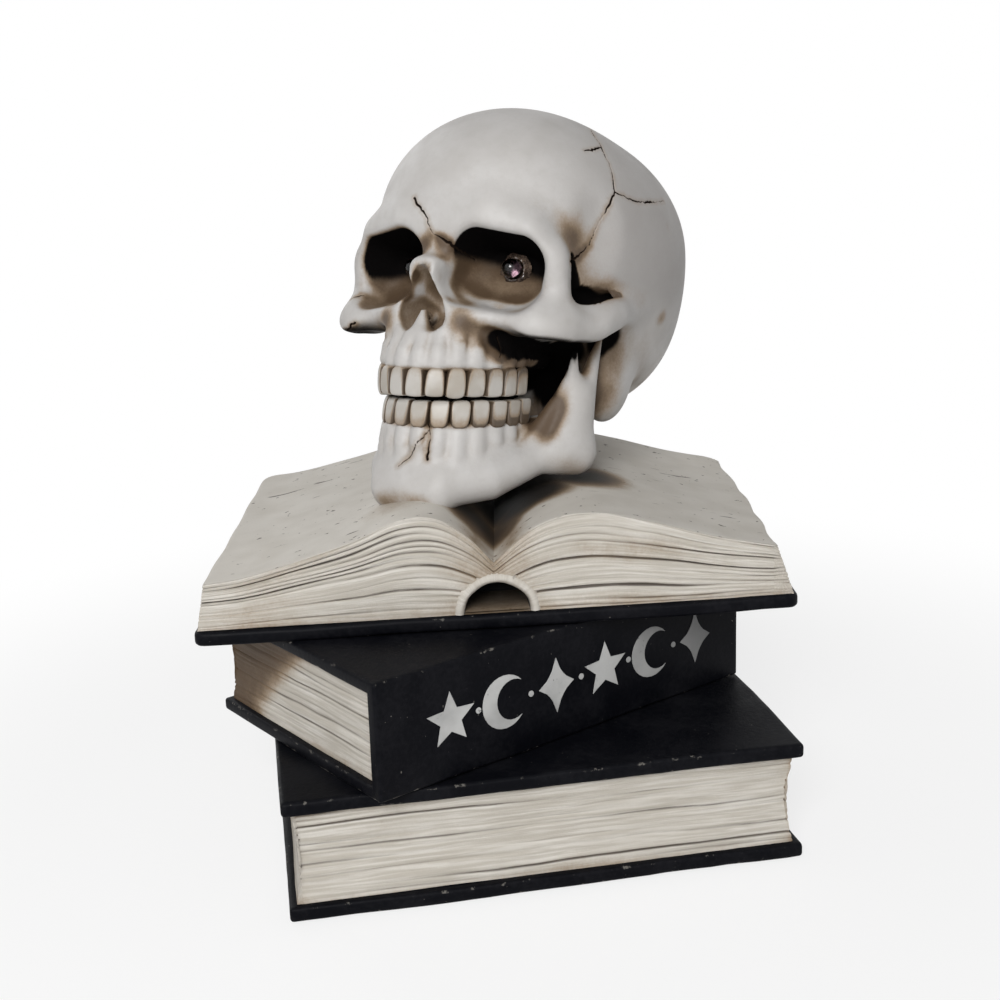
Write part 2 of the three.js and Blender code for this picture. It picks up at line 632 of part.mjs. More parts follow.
// Crowns round an arch, from the middle out on both sides
function toothRow(row) {
  const { tip, neck: root, halfWidth, reach, middle } = row;
  const arch = new THREE.EllipseCurve(0, middle, halfWidth, reach, -Math.PI / 2, 0);
  const archLength = arch.getLength();
  const crowns = [];
  for (let n = 0; n < tooth.perSide; n++) {
    const along = (n + 0.5) * tooth.width;
    const past = Math.max(0, along - archLength);
    const at = arch.getPointAt(Math.min(1, along / archLength));
    const way = past ? new THREE.Vector2(0, 1) : arch.getTangentAt(along / archLength);
    for (const side of [1, -1]) {
      crowns.push(crown(at.x * side, at.y + past, Math.atan2(way.y, way.x * side), tip, root));
    }
  }
  return crowns;
}

// One crown: rounded sections from the neck to the biting edge
function crown(x, y, turn, tip, root) {
  const sides = 8;
  const sections = [[0, 0.76, 0.8], [0.45, 1, 1], [0.85, 0.96, 0.86], [1, 0.74, 0.5]];
  const [w, t] = [(tooth.width - tooth.between) / 2, tooth.thickness / 2];
  const rise = biteTilt * (y - biteFront);
  let rings = sections.map(([s, wide, thick]) => Array.from({ length: sides }, (_, i) => {
    const angle = (i + 0.5) / sides * 2 * Math.PI;
    const out = 1 / Math.cos(Math.PI / sides);
    const [a, b] = [Math.cos(angle) * out * w * wide, Math.sin(angle) * out * t * thick];
    const [c, d] = [Math.cos(turn), Math.sin(turn)];
    return [x + a * c - b * d, y + a * d + b * c, root + (tip - root) * s + rise];
  }));
  if (tip < root) rings = rings.reverse();
  return loft(rings);
}

// Lamp axis in the right-hand socket: a matrix from its own frame (+Z out of the socket) to the skull's
function lampPlace(side) {
  const { at, turn } = eyeSocket;
  const [s, c] = [Math.sin(turn * degrees), Math.cos(turn * degrees)];
  const out = new THREE.Vector3(s * side, -c, 0);
  const up = new THREE.Vector3(0, 0, 1);
  const across = new THREE.Vector3().crossVectors(up, out);
  const mouth = new THREE.Vector3((at[0] + eyeLight.offset) * side, at[1], eyeLight.height);
  return new THREE.Matrix4().makeBasis(across, up, out).setPosition(mouth);
}
const lampSeat = -(eyeLight.domeDepth + eyeLight.length - eyeLight.radius);

function lampBore(side) {
  const beyond = eyeSocket.depth * 3;
  const profile = [
    [0, lampSeat - beyond], [eyeLight.wireBore, lampSeat - beyond], [eyeLight.wireBore, lampSeat],
    [eyeLight.flangeRadius + glueGap, lampSeat], [eyeLight.flangeRadius + glueGap, -glueBead.floorDepth],
    [glueBead.radius + glueGap, -glueBead.floorDepth], [glueBead.radius + glueGap, -glueBead.floorDepth / 3],
    [0, -glueBead.floorDepth / 3],
  ];
  return turned(profile, 16).applyMatrix4(lampPlace(side));
}

function lamp(side) {
  const { radius, flangeRadius, flange, length } = eyeLight;
  const profile = [
    [0, 0], [flangeRadius, 0], [flangeRadius, flange], [radius, flange], [radius, length - radius],
  ];
  for (let i = 1; i <= 4; i++) {
    const a = i / 4 * Math.PI / 2;
    profile.push([i === 4 ? 0 : radius * Math.cos(a), length - radius + radius * Math.sin(a)]);
  }
  return turned(profile, 12).translate(0, 0, lampSeat + glueGap).applyMatrix4(lampPlace(side));
}

function bead(side) {
  const { radius, height } = glueBead;
  const inner = eyeLight.radius + glueGap;
  const foot = -glueBead.floorDepth + glueGap;
  const ring = [
    [inner, 0], [radius, 0], [radius, height * 0.35], [radius * 0.86, height * 0.8], [inner + 0.5, height],
    [inner, height * 0.9], [inner, 0],
  ];
  return turned(ring, 12).translate(0, 0, foot).applyMatrix4(lampPlace(side));
}

function cranium() {
  const { face, back, side, crown: top } = skullCell;
  const xs = gridLines(-skullRoom.side, [skullRoom.side, side]);
  const ys = gridLines(skullRoom.face, [skullRoom.brow, face], [skullRoom.nape, back]);
  const zs = gridLines(skullRoom.foot, [skullRoom.eyes, face], [skullRoom.crown, top]);
  const toSkull = skullGroup.matrixWorld.clone().invert();
  const ductTop = neck.top + neck.ductOver;
  const down = post(duct.x, duct.y, pagesBase - 5, ductTop, duct.radius).applyMatrix4(toSkull);
  const hollow = new THREE.SphereGeometry(1, 18, 12).scale(...brainHollow.radii)
    .translate(...brainHollow.at);
  const whole = join(skin(craniumForm, xs, ys, zs), ...toothRow(upperTeeth));
  return cut(whole, hollow, down, lampBore(1), lampBore(-1));
}

function jaw() {
  const xs = gridLines(-jawRoom.side, [jawRoom.side, jawCell]);
  const ys = gridLines(jawRoom.face, [jawRoom.back, jawCell]);
  const zs = gridLines(jawRoom.foot, [jawRoom.top, jawCell]);
  return join(skin(jawForm, xs, ys, zs), ...toothRow(lowerTeeth));
}

// Battery box: everything in the frame of the stack, the underside of the book at Z 0

const bay = {
  length: cell.length + cell.nub + 2 * box.contactRoom,
  width: 4 * cell.radius + cell.apart + 2 * box.sidePlay,
};
const ledge = door.recess + door.thickness + glueGap;
const cellHeight = ledge + glueGap + cell.radius;
const roofInside = cellHeight + cell.radius + glueGap;
const boxTop = roofInside + box.roof;
const flange = bottomBook.board;
const bayLow = box.x - bay.length / 2;
const bayHigh = box.x + bay.length / 2;
const switchLow = bayHigh + box.wall;
const switchHigh = switchLow + switchBay.length;
const boxLow = bayLow - box.wall;
const boxHigh = switchHigh + box.wall;
const boxFront = box.y - bay.width / 2 - box.wall;
const boxBack = box.y + bay.width / 2 + box.wall;
const flangeOutline = (grow) => roundedRect(
  boxLow - box.flangeMargin - grow, boxHigh + box.flangeMargin + grow,
  boxFront - box.flangeMargin - grow, boxBack + box.flangeMargin + grow, box.corner + grow);
const screwPlaces = [boxLow - screw.inset, boxHigh + screw.inset].flatMap(
  (x) => [boxFront - screw.inset, boxBack + screw.inset].map((y) => [x, y]));

const doorLow = bayLow - door.lap;
const doorHigh = bayHigh + door.lap;
const doorFront = box.y - bay.width / 2 - door.lap;
const doorBack = box.y + bay.width / 2 + door.lap;
const hingeRadius = door.thickness / 2;
const hinge = { x: doorLow + hingeRadius, z: door.recess + hingeRadius };
const slider = { x: (switchLow + switchHigh) / 2, y: box.y - slideSwitch.travel / 2 };
const switchBase = switchBay.height - slideSwitch.height;

function plate(outline, z0, z1) {
  const depth = z1 - z0;
  return new THREE.ExtrudeGeometry(outline, { depth, bevelEnabled: false, curveSegments: 4 })
    .translate(0, 0, z0);
}

function batteryBox() {
  const body = join(
    plate(flangeOutline(0), 0, flange),
    block(boxLow, switchLow, boxFront, boxBack, flange / 2, boxTop),
    block(switchLow - box.wall / 2, boxHigh, boxFront, boxBack, flange / 2, switchBay.height));
  const middle = slider.y + slideSwitch.travel / 2;
  const knobHalf = slideSwitch.knob / 2 + glueGap;
  const tools = [
    block(bayLow, bayHigh, box.y - bay.width / 2, box.y + bay.width / 2, -1, roofInside),
    block(doorLow - door.play, doorHigh + door.play, doorFront - door.play, doorBack + door.play, -1, ledge),
    block(switchLow, switchHigh, boxFront + box.wall, boxBack - box.wall, flange, switchBay.height + 1),
    block(slider.x - knobHalf, slider.x + knobHalf, middle - slideSwitch.travel / 2 - knobHalf,
      middle + slideSwitch.travel / 2 + knobHalf, -1, flange + 1),
    block(slider.x - 2 * slideSwitch.knob, slider.x + 2 * slideSwitch.knob,
      middle - slideSwitch.travel - slideSwitch.knob,
      middle + slideSwitch.travel + slideSwitch.knob, -1, slideSwitch.recess),
    hingePin(doorFront - door.pinLength - 2 * door.play, doorBack + door.pinLength + 2 * door.play,
      door.pinRadius + glueGap),
    block(doorHigh - 1, doorHigh + door.play + door.notch, box.y - door.notch, box.y + door.notch, -1,
      door.recess + door.thickness / 2),
    ...screwPlaces.map(([x, y]) => turned([
      [0, -1], [screw.headRadius + glueGap, -1], [screw.headRadius + glueGap, glueGap],
      [screw.shankRadius + glueGap, screw.head + glueGap],
      [screw.shankRadius + glueGap, flange + 1], [0, flange + 1]], 12).translate(x, y, 0)),
  ];
  return cut(body, ...tools);
}

function hingePin(y0, y1, radius) {
  return new THREE.CylinderGeometry(radius, radius, y1 - y0, 12).translate(hinge.x, (y0 + y1) / 2, hinge.z);
}

// Lid with a rounded hinge edge, pins at its ends and a thumb tongue at the free edge
function batteryDoor() {
  const [low, high] = [door.recess, door.recess + door.thickness];
  const section = new THREE.Shape();
  section.moveTo(hinge.x, low).lineTo(doorHigh, low).lineTo(doorHigh, high).lineTo(hinge.x, high);
  section.absarc(hinge.x, hinge.z, hingeRadius, Math.PI / 2, Math.PI * 1.5);
  const depth = doorBack - doorFront;
  const lid = new THREE.ExtrudeGeometry(section, { depth, bevelEnabled: false, curveSegments: 8 });
  lid.rotateX(Math.PI / 2).translate(0, doorBack, 0);
  const edge = doorHigh - door.lap - 2 * glueGap;
  const tongue = block(edge - door.thickness / 2, edge, box.y - door.tongue, box.y + door.tongue,
    high - glueGap, high + door.thickness);
  const pins = hingePin(doorFront - door.pinLength, doorBack + door.pinLength, door.pinRadius);
  return join(lid, tongue, pins);
}

function batteryCell(y, way) {
  const { radius, length, nub, nubRadius } = cell;
  const profile = [
    [0, 0], [radius - 0.5, 0], [radius, 0.5], [radius, length - 0.6], [radius - 0.6, length],
    [nubRadius, length], [nubRadius, length + nub], [0, length + nub],
  ];
  const body = turned(profile, 18).rotateY(Math.PI / 2 * way);
  return body.translate(box.x - way * (length + nub) / 2, y, cellHeight);
}

// Bowed leaf of spring steel between a cell and the end wall of the bay
function leaf(x, way, y0, y1) {
  const { thickness, bow, height } = contact;
  const strip = new THREE.Shape();
  const steps = 6;
  const outer = [];
  const inner = [];
  for (let i = 0; i <= steps; i++) {
    const t = i / steps;
    const out = bow * 4 * t * (1 - t);
    outer.push([out + thickness, height * t]);
    inner.unshift([out, height * t]);
  }
  [...outer, ...inner].forEach(([a, b], i) => (i ? strip.lineTo(a, b) : strip.moveTo(a, b)));
  const piece = new THREE.ExtrudeGeometry(strip, { depth: y1 - y0, bevelEnabled: false });
  piece.rotateX(Math.PI / 2);
  if (way < 0) piece.rotateZ(Math.PI).translate(0, -(y1 - y0), 0);
  return piece.translate(x + way * glueGap, y1, cellHeight - height / 2);
}

function switchHousing() {
  const { length, width, height, slot, knobFoot, travel } = slideSwitch;
  const middle = slider.y + travel / 2;
  const can = block(slider.x - width / 2, slider.x + width / 2, middle - length / 2, middle + length / 2,
    switchBase, switchBase + height - glueGap);
  return cut(can, block(slider.x - slideSwitch.knob / 2 - glueGap, slider.x + slideSwitch.knob / 2 + glueGap,
    middle - travel / 2 - knobFoot / 2 - glueGap, middle + travel / 2 + knobFoot / 2 + glueGap,
    switchBase - 1, switchBase + slot));
}

function switchSlider() {
  const { knob, knobFoot, slot } = slideSwitch;
  const { x, y } = slider;
  const top = switchBase + slot - glueGap;
  const foot = block(x - knob / 2, x + knob / 2, y - knobFoot / 2, y + knobFoot / 2,
    switchBase - glueGap, top);
  const stem = block(x - knob / 2, x + knob / 2, y - knob / 2, y + knob / 2, door.recess, top);
  return join(foot, stem);
}

function screwAt([x, y]) {
  const { headRadius, shankRadius, head, length } = screw;
  const profile = [
    [0, glueGap], [headRadius, glueGap], [shankRadius, head + glueGap],
    [shankRadius, length - shankRadius], [0, length],
  ];
  return turned(profile, 12).translate(x, y, 0);
}

// Bottom book, cut for the box, the screws and the leads

const boardSpot = { x0: boxLow, x1: boxHigh, y0: boxFront, y1: boxBack };
const wellTop = boxTop + 4 * lead.radius + glueGap;

function bottomCover() {
  const opening = plate(flangeOutline(glueGap), -1, bottomBook.board + 1);
  const top = bottomBook.height;
  const way = post(duct.x, duct.y, top - 2 * bottomBook.board, top + 1, duct.radius);
  const toBook = bottomGroup.matrixWorld.clone().invert();
  return cut(bookCover(bottomBook), ...[opening, way].map((tool) => tool.applyMatrix4(toBook)));
}

function bottomPages() {
  const toBook = bottomGroup.matrixWorld.clone().invert();
  const { x0, x1, y0, y1 } = boardSpot;
  const hole = screw.shankRadius + glueGap;
  const tools = [
    block(x0 - glueGap, x1 + glueGap, y0 - glueGap, y1 + glueGap, 0, wellTop),
    block(duct.x - 3 * duct.radius, x1 + glueGap, y1 - 1, duct.y + 2 * duct.radius,
      bottomBook.board * 2, wellTop),
    post(duct.x, duct.y, wellTop - 1, bottomBook.height, duct.radius),
    ...screwPlaces.map(([x, y]) => post(x, y, 0, screw.length + glueGap, hole, hole, 12)),
  ];
  return cut(bookPages(bottomBook), ...tools.map((tool) => tool.applyMatrix4(toBook)));
}

function middlePiece(geometry) {
  const at = middleGroup.worldToLocal(new THREE.Vector3(duct.x, duct.y, 0));
  return cut(geometry, post(at.x, at.y, -1, middleBook.height + 1, duct.radius));
}

// Leads: from the back of a lamp, through the hollow skull, down the duct and along to the switch board
function eyeLead(side) {
  const seat = lampPlace(side).premultiply(skullGroup.matrixWorld);
  const from = (depth) => new THREE.Vector3(0, 0, lampSeat - depth).applyMatrix4(seat);
  const inSkull = (x, y, z) => new THREE.Vector3(x, y, z).applyMatrix4(skullGroup.matrixWorld);
  const x = duct.x + side * lead.apart;
  const boardTop = switchBay.height + glueGap + board.thickness;
  const end = new THREE.Vector3((switchLow + switchHigh) / 2 + side * 3, boxBack - 6, boardTop + glueGap);
  const points = [
    from(glueGap), from(8), from(18), inSkull(side * 7.5, -1, 9.5),
    new THREE.Vector3(x, duct.y, neck.top + neck.ductOver - 4),
    new THREE.Vector3(x, duct.y, neck.top), new THREE.Vector3(x, duct.y, pagesBase),
    new THREE.Vector3(x, duct.y, middleBase + middleBook.height / 2),
    new THREE.Vector3(x, duct.y, wellTop + 3),
    new THREE.Vector3(x, duct.y - 2, wellTop - 3.4),
    new THREE.Vector3((x + end.x) / 2, (duct.y + end.y) / 2, wellTop - 3.2),
    new THREE.Vector3(end.x, end.y + 2.4, wellTop - 3), new THREE.Vector3(end.x, end.y, end.z + 2), end,
  ];
  const route = new THREE.CatmullRomCurve3(points, false, 'centripetal');
  const ring = new THREE.Shape();
  ring.absarc(0, 0, lead.radius, 0, 2 * Math.PI);
  return new THREE.ExtrudeGeometry(ring, {
    extrudePath: route, steps: lead.steps, curveSegments: lead.sides, bevelEnabled: false,
  });
}

// Assembly

const stack = new THREE.Group();
stack.add(bottomGroup, middleGroup, openGroup, skullGroup);

function add(parent, name, geometry, material) {
  const mesh = new THREE.Mesh(geometry, material);
  mesh.name = name;
  parent.add(mesh);
}

add(bottomGroup, 'bottom_book_cover', bottomCover(), look.cloth());
add(bottomGroup, 'bottom_book_pages', bottomPages(), look.paper());
add(middleGroup, 'middle_book_cover', middlePiece(bookCover(middleBook)), look.cloth());
add(middleGroup, 'middle_book_pages', middlePiece(bookPages(middleBook)), look.paper());
add(openGroup, 'open_book_cover', openCover(), look.cloth());
add(openGroup, 'open_book_pages', openPageBlock(), look.paper());
add(skullGroup, 'skull_cranium', cranium(), look.bone());
add(skullGroup, 'skull_jaw', jaw(), look.bone());
for (const [name, side] of [['right', 1], ['left', -1]]) {
  add(skullGroup, `${name}_eye_lamp`, lamp(side), look.lamp());
  add(skullGroup, `${name}_eye_glue`, bead(side), look.glue());
  add(stack, `${name}_eye_lead`, eyeLead(side), look.lead());
}

add(stack, 'battery_box', batteryBox(), look.shell());
add(stack, 'battery_door', batteryDoor(), look.shell());
const cellOffset = cell.radius + cell.apart / 2;
add(stack, 'front_cell', batteryCell(box.y - cellOffset, 1), look.cell());
add(stack, 'back_cell', batteryCell(box.y + cellOffset, -1), look.cell());
const frontLine = box.y - cellOffset;
const backLine = box.y + cellOffset;
const leafHalf = contact.width / 2;
add(stack, 'series_contact', leaf(bayHigh, -1, frontLine - leafHalf, backLine + leafHalf), look.steel());
add(stack, 'front_contact', leaf(bayLow, 1, frontLine - leafHalf, frontLine + leafHalf), look.steel());
add(stack, 'back_contact', leaf(bayLow, 1, backLine - leafHalf, backLine + leafHalf), look.steel());
add(stack, 'switch_board', block(switchLow + glueGap, boxHigh, boxFront, boxBack, switchBay.height + glueGap,
  switchBay.height + glueGap + board.thickness), look.circuit());
add(stack, 'switch_housing', switchHousing(), look.steel());
add(stack, 'switch_slider', switchSlider(), look.shell());
screwPlaces.forEach((place, i) => add(stack, `box_screw_${i + 1}`, screwAt(place), look.steel()));

const padPlaces = [pad.inset, bottomBook.length - pad.inset].flatMap(
  (x) => [pad.inset, bottomBook.depth - pad.inset].map((y) => [x, y]));
padPlaces.forEach(([x, y], i) => {
  const disc = post(x, y, -pad.thickness, 0, pad.radius, pad.radius, 18);
  add(stack, `foot_pad_${i + 1}`, disc, look.felt());
});

// The origin goes under the middle of the object's box
const bounds = new THREE.Box3().setFromObject(stack, true);
const middlePoint = bounds.getCenter(new THREE.Vector3());
stack.position.set(-middlePoint.x, -middlePoint.y, -bounds.min.z);

const decoration = new THREE.Group();
decoration.add(stack);

export default decoration;
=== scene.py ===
import math

import bmesh
import bpy
import numpy as np
from mathutils import Matrix, Vector, kdtree
from mathutils import noise as fractal
from mathutils.bvhtree import BVHTree


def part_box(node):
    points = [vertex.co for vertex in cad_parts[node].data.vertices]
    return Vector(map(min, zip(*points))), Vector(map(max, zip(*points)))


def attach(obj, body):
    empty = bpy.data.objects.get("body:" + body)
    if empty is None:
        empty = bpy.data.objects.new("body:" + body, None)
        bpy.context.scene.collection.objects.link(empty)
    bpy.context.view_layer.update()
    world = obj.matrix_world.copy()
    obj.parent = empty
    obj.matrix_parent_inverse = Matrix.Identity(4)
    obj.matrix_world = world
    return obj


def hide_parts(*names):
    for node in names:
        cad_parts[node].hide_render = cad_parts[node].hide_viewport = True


fractal.seed_set(7)  # vector noise is the same on each run
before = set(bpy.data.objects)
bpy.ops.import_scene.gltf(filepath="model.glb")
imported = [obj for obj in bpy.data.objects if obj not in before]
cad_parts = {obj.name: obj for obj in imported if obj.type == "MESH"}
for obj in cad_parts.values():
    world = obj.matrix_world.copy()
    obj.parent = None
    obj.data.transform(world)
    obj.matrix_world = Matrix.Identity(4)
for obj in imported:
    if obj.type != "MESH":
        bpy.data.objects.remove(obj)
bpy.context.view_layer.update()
mm = 0.001
scene = bpy.context.scene
stackCorner = Vector(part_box("bottom_book_cover")[0])  # front left foot of the bottom book
print("frame loaded:", len(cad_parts), "nodes")


def addObject(name, data):
    obj = bpy.data.objects.new(name, data)
    scene.collection.objects.link(obj)
    return obj


# Camera, as fitted to the edges of the books: millimetres, degrees, and a focal length in picture widths

photoCamera = {
    "place": (2.64, -305.92, 178.93), "turn": 9.77, "down": 14.22, "roll": -2.35, "focal": 1.39936, "sensor": 36,
    "picture": 1000,
}


def cameraAxes():
    turn, down, roll = (math.radians(photoCamera[key]) for key in ("turn", "down", "roll"))
    ahead = Vector((math.sin(turn) * math.cos(down), math.cos(turn) * math.cos(down), -math.sin(down)))
    level = Vector((math.cos(turn), -math.sin(turn), 0))
    upright = level.cross(ahead)
    right = level * math.cos(roll) + upright * math.sin(roll)
    up = upright * math.cos(roll) - level * math.sin(roll)
    return right, up, ahead


sightRight, sightUp, sightAhead = cameraAxes()
eyePoint = stackCorner + Vector(photoCamera["place"]) * mm


def addCamera():
    data = bpy.data.cameras.new("photoCamera")
    data.sensor_width = photoCamera["sensor"]
    data.lens = photoCamera["focal"] * data.sensor_width
    scene.camera = addObject("photoCamera", data)
    axes = Matrix((sightRight, sightUp, -sightAhead)).transposed().to_4x4()
    scene.camera.matrix_world = Matrix.Translation(eyePoint) @ axes


# Direction in which a point of the picture is seen
def sightLine(px, py):
    middle, focal = photoCamera["picture"] / 2, photoCamera["focal"] * photoCamera["picture"]
    return (sightAhead + sightRight * ((px - middle) / focal) + sightUp * ((middle - py) / focal)).normalized()


addCamera()


# Node trees: each helper adds a node and gives back what comes out of it


def feed(tree, node, inputs):
    for name, value in inputs.items():
        if isinstance(value, bpy.types.NodeSocket):
            tree.links.new(value, node.inputs[name])
        else:
            node.inputs[name].default_value = value


def put(tree, kind, inputs=None, **settings):
    node = tree.nodes.new("ShaderNode" + kind)
    for name, value in settings.items():
        setattr(node, name, value)
    feed(tree, node, inputs or {})
    return node.outputs


def calc(tree, operation, a, b, clamp=False):
    return put(tree, "Math", {0: a, 1: b}, operation=operation, use_clamp=clamp)[0]


def add(tree, a, b):
    return calc(tree, "ADD", a, b)


def subtract(tree, a, b):
    return calc(tree, "SUBTRACT", a, b)


def multiply(tree, a, b):
    return calc(tree, "MULTIPLY", a, b)


def larger(tree, a, b):
    return calc(tree, "MAXIMUM", a, b)


# A value spread from low..high to 0..1 with soft ends
def soften(tree, value, low, high):
    inputs = {"Value": value, "From Min": low, "From Max": high}
    return put(tree, "MapRange", inputs, interpolation_type="SMOOTHSTEP")[0]


def remap(tree, value, low, high, span=(0.0, 1.0)):
    inputs = {"Value": value, "From Min": span[0], "From Max": span[1], "To Min": low, "To Max": high}
    return put(tree, "MapRange", inputs)[0]


def mixColors(tree, factor, a, b, share=None):
    if share is not None:
        factor = multiply(tree, factor, share)
    return put(tree, "Mix", {0: factor, 6: a, 7: b}, data_type="RGBA")[2]


def attribute(tree, name):
    return put(tree, "Attribute", attribute_name=name)["Fac"]


def cloud(tree, where, scale, detail, rough):
    return put(tree, "TexNoise", {"Vector": where, "Scale": scale, "Detail": detail, "Roughness": rough})["Fac"]


def bumps(tree, height, distance, strength):
    return put(tree, "Bump", {"Height": height, "Distance": distance, "Strength": strength})[0]


def paint(red, green, blue):
    return (red, green, blue, 1.0)


def newMaterial(name):
    material = bpy.data.materials.new(name)
    material.use_nodes = True
    tree = material.node_tree
    return material, tree, tree.nodes["Principled BSDF"], put(tree, "TexCoord")["Object"]


def newGroup(name, inputs, outputs):
    group = bpy.data.node_groups.new(name, "ShaderNodeTree")
    for way, sockets in (("INPUT", inputs), ("OUTPUT", outputs)):
        for label, kind, *value in sockets:
            socket = group.interface.new_socket(label, in_out=way, socket_type="NodeSocket" + kind)
            if value:
                socket.default_value = value[0]
    return group, group.nodes.new("NodeGroupInput").outputs, group.nodes.new("NodeGroupOutput")


# Brown wash that settles in hollows, deepened with painted shade: blotched at its edge, darkest in the deepest places
washLook = {
    "washAndShade": paint(0.235, 0.155, 0.082), "deep": paint(0.05, 0.027, 0.012), "blotch": (260.0, 5.0, 0.6),
    "blotched": 0.42, "streak": (1500.0, 3.0, 0.6), "streaked": 0.26, "even": 0.34, "washed": 0.86, "deepened": 0.85,
    "washSpan": (0.14, 0.92), "deepSpan": (0.55, 1.3),
}


def makeWashGroup():
    look = washLook
    inputs = [("Color", "Color"), ("Hollow", "Float", 0.0), ("Vector", "Vector"),
              ("Wash", "Color", look["washAndShade"]), ("Deep", "Color", look["deep"])]
    group, given, result = newGroup("hollowWashAndShade", inputs, [("Color", "Color")])
    blotch = multiply(group, cloud(group, given["Vector"], *look["blotch"]), look["blotched"])
    streak = multiply(group, cloud(group, given["Vector"], *look["streak"]), look["streaked"])
    level = add(group, given["Hollow"], subtract(group, add(group, blotch, streak), look["even"]))
    washed = mixColors(group, soften(group, level, *look["washSpan"]), given["Color"], given["Wash"], look["washed"])
    deep = soften(group, level, *look["deepSpan"])
    feed(group, result, {"Color": mixColors(group, deep, washed, given["Deep"], look["deepened"])})
    return group


# Fine brushed and cast texture of the paint, as a height
grainLook = {"scale": 900.0, "fine": (5.0, 0.6), "broad": (85.0, 3.0, 0.5), "shares": (0.45, 0.55)}


def makeCastGrain():
    look = grainLook
    inputs = [("Vector", "Vector"), ("Scale", "Float", look["scale"])]
    group, given, result = newGroup("castGrain", inputs, [("Height", "Float"), ("Mottle", "Float")])
    fine = cloud(group, given["Vector"], given["Scale"], *look["fine"])
    broad = cloud(group, given["Vector"], *look["broad"])
    height = add(group, *(multiply(group, *pair) for pair in zip((fine, broad), look["shares"])))
    feed(group, result, {"Height": height, "Mottle": broad})
    return group


washGroup = makeWashGroup()
castGrain = makeCastGrain()
grainSpan = (0.3, 0.7)


def washOver(tree, color, hollow, where):
    return put(tree, "Group", {"Color": color, "Hollow": hollow, "Vector": where}, node_tree=washGroup)["Color"]


def grainOf(tree, where, scale):
    return put(tree, "Group", {"Vector": where, "Scale": scale}, node_tree=castGrain)


boneFinish = {
    "light": paint(0.5, 0.486, 0.472), "shade": paint(0.41, 0.39, 0.37), "shadowTone": paint(0.3, 0.283, 0.272),
    "crack": paint(0.012, 0.008, 0.006), "blackAndShade": paint(0.004, 0.0035, 0.0035), "gloss": 0.4, "rough": (0.42, 0.62),
    "blackAndShadeRough": 0.3, "scale": 1100.0, "grain": 0.00018, "mottleSpan": (0.3, 0.75), "mottled": 0.6,
    "brush": (380.0, 6.0, 0.68), "brushSpan": (0.42, 0.72), "brushed": 0.35, "blackAndShadeSpan": (0.12, 0.9),
    "crackSpan": (0.2, 0.65), "ragged": 0.3, "bump": 0.5,
}


def makeBone():
    look = boneFinish
    material, tree, shader, where = newMaterial("bonePaint")
    grain = grainOf(tree, where, look["scale"])
    mottle = soften(tree, grain["Mottle"], *look["mottleSpan"])
    base = mixColors(tree, mottle, look["light"], look["shade"], look["mottled"])
    strokes = soften(tree, cloud(tree, where, *look["brush"]), *look["brushSpan"])
    brushed = mixColors(tree, strokes, base, look["shade"], look["brushed"])
    # Painted shade on the flanks and the crown
    shadowTone = mixColors(tree, attribute(tree, "sideShade"), brushed, look["shadowTone"])
    # Brown wash with painted shade in the hollows
    washed = washOver(tree, shadowTone, attribute(tree, "washAndShade"), where)
    ragged = multiply(tree, subtract(tree, grain["Height"], 0.5), look["ragged"])
    # Black, partly dark paint and partly painted shade
    blackAndShaded = soften(tree, add(tree, attribute(tree, "blackAndShade"), ragged), *look["blackAndShadeSpan"])
    color = mixColors(tree, blackAndShaded, washed, look["blackAndShade"])
    crack = soften(tree, attribute(tree, "crack"), *look["crackSpan"])
    bare = subtract(tree, 1.0, larger(tree, blackAndShaded, crack))
    rough = remap(tree, grain["Height"], *look["rough"], grainSpan)
    feed(tree, shader, {
        "Base Color": mixColors(tree, crack, color, look["crack"]),
        "Specular IOR Level": multiply(tree, bare, look["gloss"]),
        "Roughness": calc(tree, "ADD", rough, multiply(tree, blackAndShaded, look["blackAndShadeRough"]), clamp=True),
        "Normal": bumps(tree, grain["Height"], look["grain"], look["bump"]),
    })
    return material


bonePaint = makeBone()
print("bone paint ready")


# Making pieces


# Each piece rides with the base, and takes the place of a CAD node where it has one
def declare(obj, replaced):
    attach(obj, "base")
    if replaced:
        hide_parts(replaced)


def meshPiece(name, bm, matrix, material, replaced=None, sharpAngle=None):
    bmesh.ops.transform(bm, matrix=matrix, verts=bm.verts)
    mesh = bpy.data.meshes.new(name)
    bm.to_mesh(mesh)
    bm.free()
    mesh.materials.append(material)
    mesh.shade_smooth()
    if sharpAngle:
        mesh.set_sharp_from_angle(angle=math.radians(sharpAngle))
    obj = addObject(name, mesh)
    declare(obj, replaced)
    return obj


def addValues(mesh, name, values):
    mesh.attributes.new(name, "FLOAT", "POINT").data.foreach_set("value", np.asarray(values, np.float32))


def ease(lo, hi, value):
    t = np.clip((value - lo) / (hi - lo), 0, 1)
    return t * t * (3 - 2 * t)


def ripple(x, y, z):
    return fractal.noise(Vector((x, y, z)))


def faceNormals(bm):
    bmesh.ops.recalc_face_normals(bm, faces=bm.faces)


def extrudeEdges(bm, edges):
    made = bmesh.ops.extrude_edge_only(bm, edges=edges)["geom"]
    return [[item for item in made if isinstance(item, kind)] for kind in (bmesh.types.BMVert, bmesh.types.BMEdge)]


def extrudeOutline(bm, corners, way):
    face = bm.faces.new([bm.verts.new(corner) for corner in corners])
    made = bmesh.ops.extrude_face_region(bm, geom=[face])["geom"]
    bmesh.ops.translate(bm, verts=[v for v in made if isinstance(v, bmesh.types.BMVert)], vec=way)


def openLine(bm, points):
    verts = [bm.verts.new(point) for point in points]
    return verts, [bm.edges.new(pair) for pair in zip(verts[:-1], verts[1:])]


def addBlock(bm, middle, size):
    bmesh.ops.create_cube(bm, size=1, matrix=Matrix.Translation(middle) @ Matrix.Diagonal((*size, 1)))


# The skull as blended forms in its own frame, in millimetres: face to -Y, eye level near Z 8

